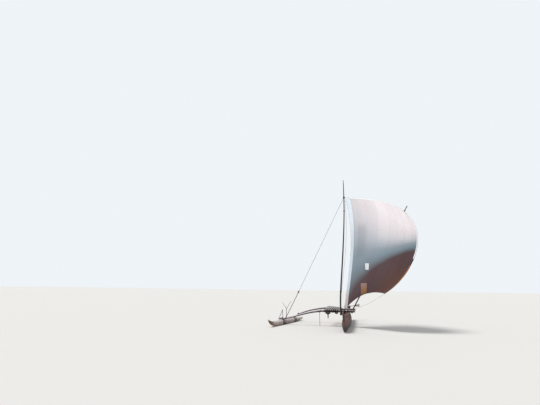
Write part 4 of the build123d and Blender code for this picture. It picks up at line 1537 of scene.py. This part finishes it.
@dataclass
class OarDress:
    """Finish of the steering oar, with its whippings."""

    pin: Triple = (0.1165, 3.6, 1.232)  # the loom's axis over the thole pin
    chafe: Pair = (0.09, 0.21)  # near and far end of the chafing turns, from the pin
    grip: Pair = (-1.27, -1.15)  # ends of the grip's turns
    laps: Triple = (1.28, 1.37, 1.46)  # middles of the turns that hold the blade
    lap: float = 0.02  # half length of each of those
    reach: float = 0.16  # what the turns are drawn in from

    def build(self) -> None:
        """Dresses the oar's nodes and makes the whippings."""
        dress(Kit.LOOM, "oar_loom")
        dress(Kit.BLADE, "oar_blade")
        dress(Kit.BLOCK, "oar_cheek")
        pin, along = Vector(self.pin), Vector(Grain.OAR.value)
        loom, both = Surfaces("oar_loom"), Surfaces("oar_loom", "oar_blade")
        lasher = Lasher(0.004, seed=103)
        near, far = self.chafe
        spans = [(loom, near, far), (loom, -far, -near), (loom, *self.grip)]
        spans += [(both, at - self.lap, at + self.lap) for at in self.laps]
        lines = []
        for wood, start, end in spans:
            lines += lasher.whip(wood, pin + along * start, pin + along * end, self.reach)
        lines_piece("oar_whippings", lines, Kit.PALE_COIR, OAR)


@dataclass(frozen=True)
class Sewn:
    """One hem, band or patch before it is made."""

    name: str
    outline: Outline  # from shares of its own width and height to the sail's map
    cells: tuple[int, int]  # each way
    finish: Finish


@dataclass
class Sail:
    """The bellied sail, with its hems, patches and bolt rope."""

    net: tuple = (  # control points, a row from foot to head for each of four lines to leech
        ((-0.110, -1.360, 1.210), (0.310, -1.650, 3.810), (1.010, -1.850, 6.380),
         (0.277, -1.365, 9.522)),
        ((0.820, -2.500, 2.180), (1.250, -4.260, 4.080), (2.440, -4.060, 6.550),
         (1.910, -2.000, 9.230)),
        ((1.540, -3.300, 2.610), (2.430, -5.360, 3.920), (4.160, -5.000, 6.480),
         (3.340, -2.700, 8.830)),
        ((2.580, -3.900, 2.380), (4.070, -4.700, 3.270), (5.710, -4.600, 5.960),
         (4.2015, -3.3111, 7.822)),
    )
    across: int = 96  # cells from luff to leech
    up: int = 144  # cells from foot to head
    thick: float = 0.004  # of the cloth
    hem: float = 0.003  # thickness of what is sewn to it
    lap: float = 0.0046  # from the cloth's middle to that of what is sewn to it
    flat: Pair = (5.0, 8.3)  # width and length of the cloth laid flat
    area: float = 32.0  # its area laid flat
    band: Triple = (0.055, 0.58, 0.12)  # luff band's least width, the height of that, spread
    white: tuple = ((0.325, 0.364), (0.395, 0.358), (0.427, 0.292), (0.36, 0.30))  # corners
    ochre: tuple = ((0.348, 0.164), (0.487, 0.148), (0.60, 0.004), (0.458, 0.014))  # corners
    patch: Pair = (0.13, 0.085)  # reach of the corner patches across and up the map
    inset: float = 0.002  # from the cloth's edge to them
    pulls: tuple = (  # folds at throat, peak, clew and tack: u, v, how many, height
        (0, 1, 7, 0.007), (1, 1, 13, 0.010), (1, 0, 11, 0.014), (0, 0, 7, 0.008),
    )
    waves: tuple[float, ...] = (0.012, 0.014, 0.016, 0.003)  # at luff, leech, foot and seams
    edges: tuple[int, int] = (160, 96)  # bolt rope's points along luff and head
    bolt: float = 0.0075  # its radius
    cringle: Pair = (0.026, 0.006)  # radius of the corner eyes and of their rope

    def build(self) -> None:
        """Makes the cloth and everything sewn to it."""
        whole = Sewn("sail_cloth", lambda s, t: (s, t), (self.across, self.up), Kit.CLOTH)
        cloth = self._panel(whole.name, whole, 0.0, self.thick)
        sewn = [
            self._panel(f"{part.name}_{side}", part, lap, self.hem)
            for side, lap in (("outer", self.lap), ("inner", -self.lap))
            for part in self._sewn()
        ]
        sewn += [self._bolt_rope(), self._cringles()]
        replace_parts(cloth, "sail")

    def _sewn(self) -> list[Sewn]:
        """Hems, bands, corner patches and repairs.

        Returns:
            Each of them before it is made.
        """
        low, at, spread = self.band

        def strip(left: float, bottom: float, top: float) -> Outline:
            """Outline from a left side to the leech, between two heights of the map."""
            return lambda s, t: (left + (1 - left) * s, bottom + (top - bottom) * t)

        def luff(s: np.ndarray, t: np.ndarray) -> tuple[np.ndarray, np.ndarray]:
            """Outline of the luff band, narrow near its middle."""
            return s * (low + spread * (t - at) ** 2), t

        return [
            Sewn("luff_band", luff, (16, 2 * self.up), Kit.BAND),
            Sewn("head_hem", strip(0.076, 0.985, 1.0), (self.across, 2), Kit.HEM),
            Sewn("leech_hem", strip(0.986, 0.46, 1.0), (2, 96), Kit.HEM),
            # Painted glint along the lower leech.
            Sewn("low_leech_glint", strip(0.984, 0.05, 0.39), (2, 64), Kit.GLINT_HEM),
            Sewn("white_patch", self._between(self.white), (12, 12), Kit.BACKLIT_PATCH),
            Sewn("backlit_ochre_patch", self._between(self.ochre), (20, 24), Kit.BACKLIT_OCHRE),
            Sewn("clew_patch", self._corner(False), (10, 10), Kit.CLOTH),
            Sewn("peak_patch", self._corner(True), (10, 10), Kit.CLOTH),
        ]

    @staticmethod
    def _between(corners: Sequence[Pair]) -> Outline:
        """Outline between four corners of the map.

        Args:
            corners: The corners, the upper two first.

        Returns:
            The outline.
        """
        a, b, c, d = np.array(corners)

        def place(s: np.ndarray, t: np.ndarray) -> tuple[np.ndarray, np.ndarray]:
            """Point of the map at shares across and up."""
            top, bottom = np.outer(1 - s, a) + np.outer(s, b), np.outer(1 - s, d) + np.outer(s, c)
            return tuple((bottom * (1 - t)[:, None] + top * t[:, None]).T)

        return place

    def _corner(self, head: bool) -> Outline:
        """Outline of a three-sided patch at the leech.

        Args:
            head: Whether it is at the head, not the foot.

        Returns:
            The outline.
        """
        (width, height), inset = self.patch, self.inset

        def place(s: np.ndarray, t: np.ndarray) -> tuple[np.ndarray, np.ndarray]:
            """Point of the map at shares across and up."""
            v = 1 - inset - height * t if head else height * t + inset
            return 1 - inset - width * (1 - t) * s, v

        return place

    @staticmethod
    def _weights(t: np.ndarray) -> np.ndarray:
        """Weights of the four control points at shares of the way along."""
        return np.stack([(1 - t) ** 3, 3 * t * (1 - t) ** 2, 3 * t * t * (1 - t), t ** 3], axis=1)

    def _smooth(self, u: np.ndarray, v: np.ndarray) -> np.ndarray:
        """Points of the sail's smooth shape at places of its map."""
        return np.einsum("ni,nj,ijk->nk", self._weights(u), self._weights(v), np.array(self.net))

    def _creases(self, u: np.ndarray, v: np.ndarray) -> np.ndarray:
        """Height of the small folds that pull in from the corners, the luff and the free edges.

        Args:
            u: Shares of the way from luff to leech.
            v: Shares of the way from foot to head.

        Returns:
            The heights in metres.
        """
        height = np.zeros_like(u)
        for at_u, at_v, folds, tall in self.pulls:
            across, rise = (u - at_u) * self.flat[0], (v - at_v) * self.flat[1]
            far = np.hypot(across, rise)
            turn = np.arctan2(np.abs(rise), np.abs(across))
            fade = np.exp(-far / 1.3) * np.minimum(far / 0.35, 1)
            height += tall * np.sin(turn * folds) * fade
        luff = np.clip(1 - u / 0.07, 0, 1) ** 2 * np.sin(math.pi * v * 11) ** 2
        leech = np.clip((u - 0.93) / 0.07, 0, 1) ** 2 * np.sin(v * 44) * np.sin(math.pi * v)
        foot = np.clip(1 - v / 0.05, 0, 1) ** 2 * np.sin(u * 21) * np.sin(math.pi * u)
        pucker = sum(np.exp(-(((u - at) / 0.007) ** 2)) for at in Kit.CLOTH.seams)
        pucker = pucker * (1 + 0.5 * np.sin(v * 160))
        edges = (luff, leech, foot, -pucker)
        return height + sum(tall * edge for tall, edge in zip(self.waves, edges))

    def _on(self, u: np.ndarray, v: np.ndarray, lift: float) -> np.ndarray:
        """Points of the cloth with its folds.

        Args:
            u: Shares of the way from luff to leech.
            v: Shares of the way from foot to head.
            lift: Distance from the cloth's middle towards the bellied side.

        Returns:
            The points.
        """
        d = 1e-3
        along = self._smooth(np.minimum(u + d, 1), v) - self._smooth(np.maximum(u - d, 0), v)
        rise = self._smooth(u, np.minimum(v + d, 1)) - self._smooth(u, np.maximum(v - d, 0))
        normal = np.cross(along, rise)
        normal /= np.linalg.norm(normal, axis=1)[:, None]
        return self._smooth(u, v) + normal * (self._creases(u, v) + lift)[:, None]

    def _panel(self, name: str, cut: Sewn, lift: float, thick: float) -> bpy.types.Object:
        """Piece of cloth on the sail.

        Args:
            name: Its name.
            cut: Its outline, cells and finish.
            lift: Distance from the cloth's middle towards the bellied side.
            thick: Its thickness.

        Returns:
            The piece, thickened.
        """
        m, n = cut.cells
        grid = np.meshgrid(np.linspace(0, 1, m + 1), np.linspace(0, 1, n + 1), indexing="ij")
        u, v = cut.outline(*(g.ravel() for g in grid))
        corners = self._on(u, v, lift)
        first = (np.arange(m)[:, None] * (n + 1) + np.arange(n)[None, :]).ravel()
        faces = np.stack([first, first + n + 1, first + n + 2, first + 1], axis=1)
        maps = np.stack([u[faces], v[faces]], axis=2).reshape(-1, 2)
        piece = new_piece(name, corners.tolist(), faces.tolist(), cut.finish, RIG, maps)
        solid = piece.modifiers.new("thickness", "SOLIDIFY")
        solid.thickness, solid.offset = thick, 0.0
        return piece

    def _bolt_rope(self) -> bpy.types.Object:
        """Rope sewn all round the cloth's edge.

        Returns:
            The piece.
        """
        n, m = self.edges
        up, over = np.linspace(0, 1, n, endpoint=False), np.linspace(0, 1, m, endpoint=False)
        u = np.concatenate([np.zeros(n), over, np.ones(n), 1 - over])
        v = np.concatenate([up, np.ones(m), 1 - up, np.zeros(m)])
        points = [Vector(p) for p in self._on(u, v, 0.0)]
        return lines_piece("bolt_rope", [Line(points, self.bolt, True)], Kit.PALE_COIR, RIG)

    def _cringles(self) -> bpy.types.Object:
        """Rope eyes at the four corners.

        Returns:
            The piece.
        """
        rings = []
        for u, v in ((0, 0), (1, 0), (0, 1), (1, 1)):
            near = np.array([[u, v], [0.5, v], [u, 0.5]], float)
            corner, across, rise = (Vector(p) for p in self._smooth(near[:, 0], near[:, 1]))
            normal = (across - corner).cross(rise - corner).normalized()
            rings.append(ring(corner, normal, *self.cringle))
        return lines_piece("corner_cringles", rings, Kit.COIR, RIG)


def main() -> None:
    """Builds every sub-assembly in order."""
    logging.basicConfig(level=logging.INFO, format="%(message)s")
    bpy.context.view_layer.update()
    booms = (Boom("boom_fore", -1.2), Boom("boom_aft", 1.2))
    Studio().build()
    for hank in HANKS:
        hank.build(booms[0])
        LOG.info("hung %s", hank.name)
    dresses = [kind(*booms) for kind in (HullDress, OutriggerDress, StayDress, RigDress)]
    for part in (*dresses, OarDress(), Sail()):
        part.build()
        LOG.info("built %s", type(part).__name__)


if __name__ == "__main__":
    main()
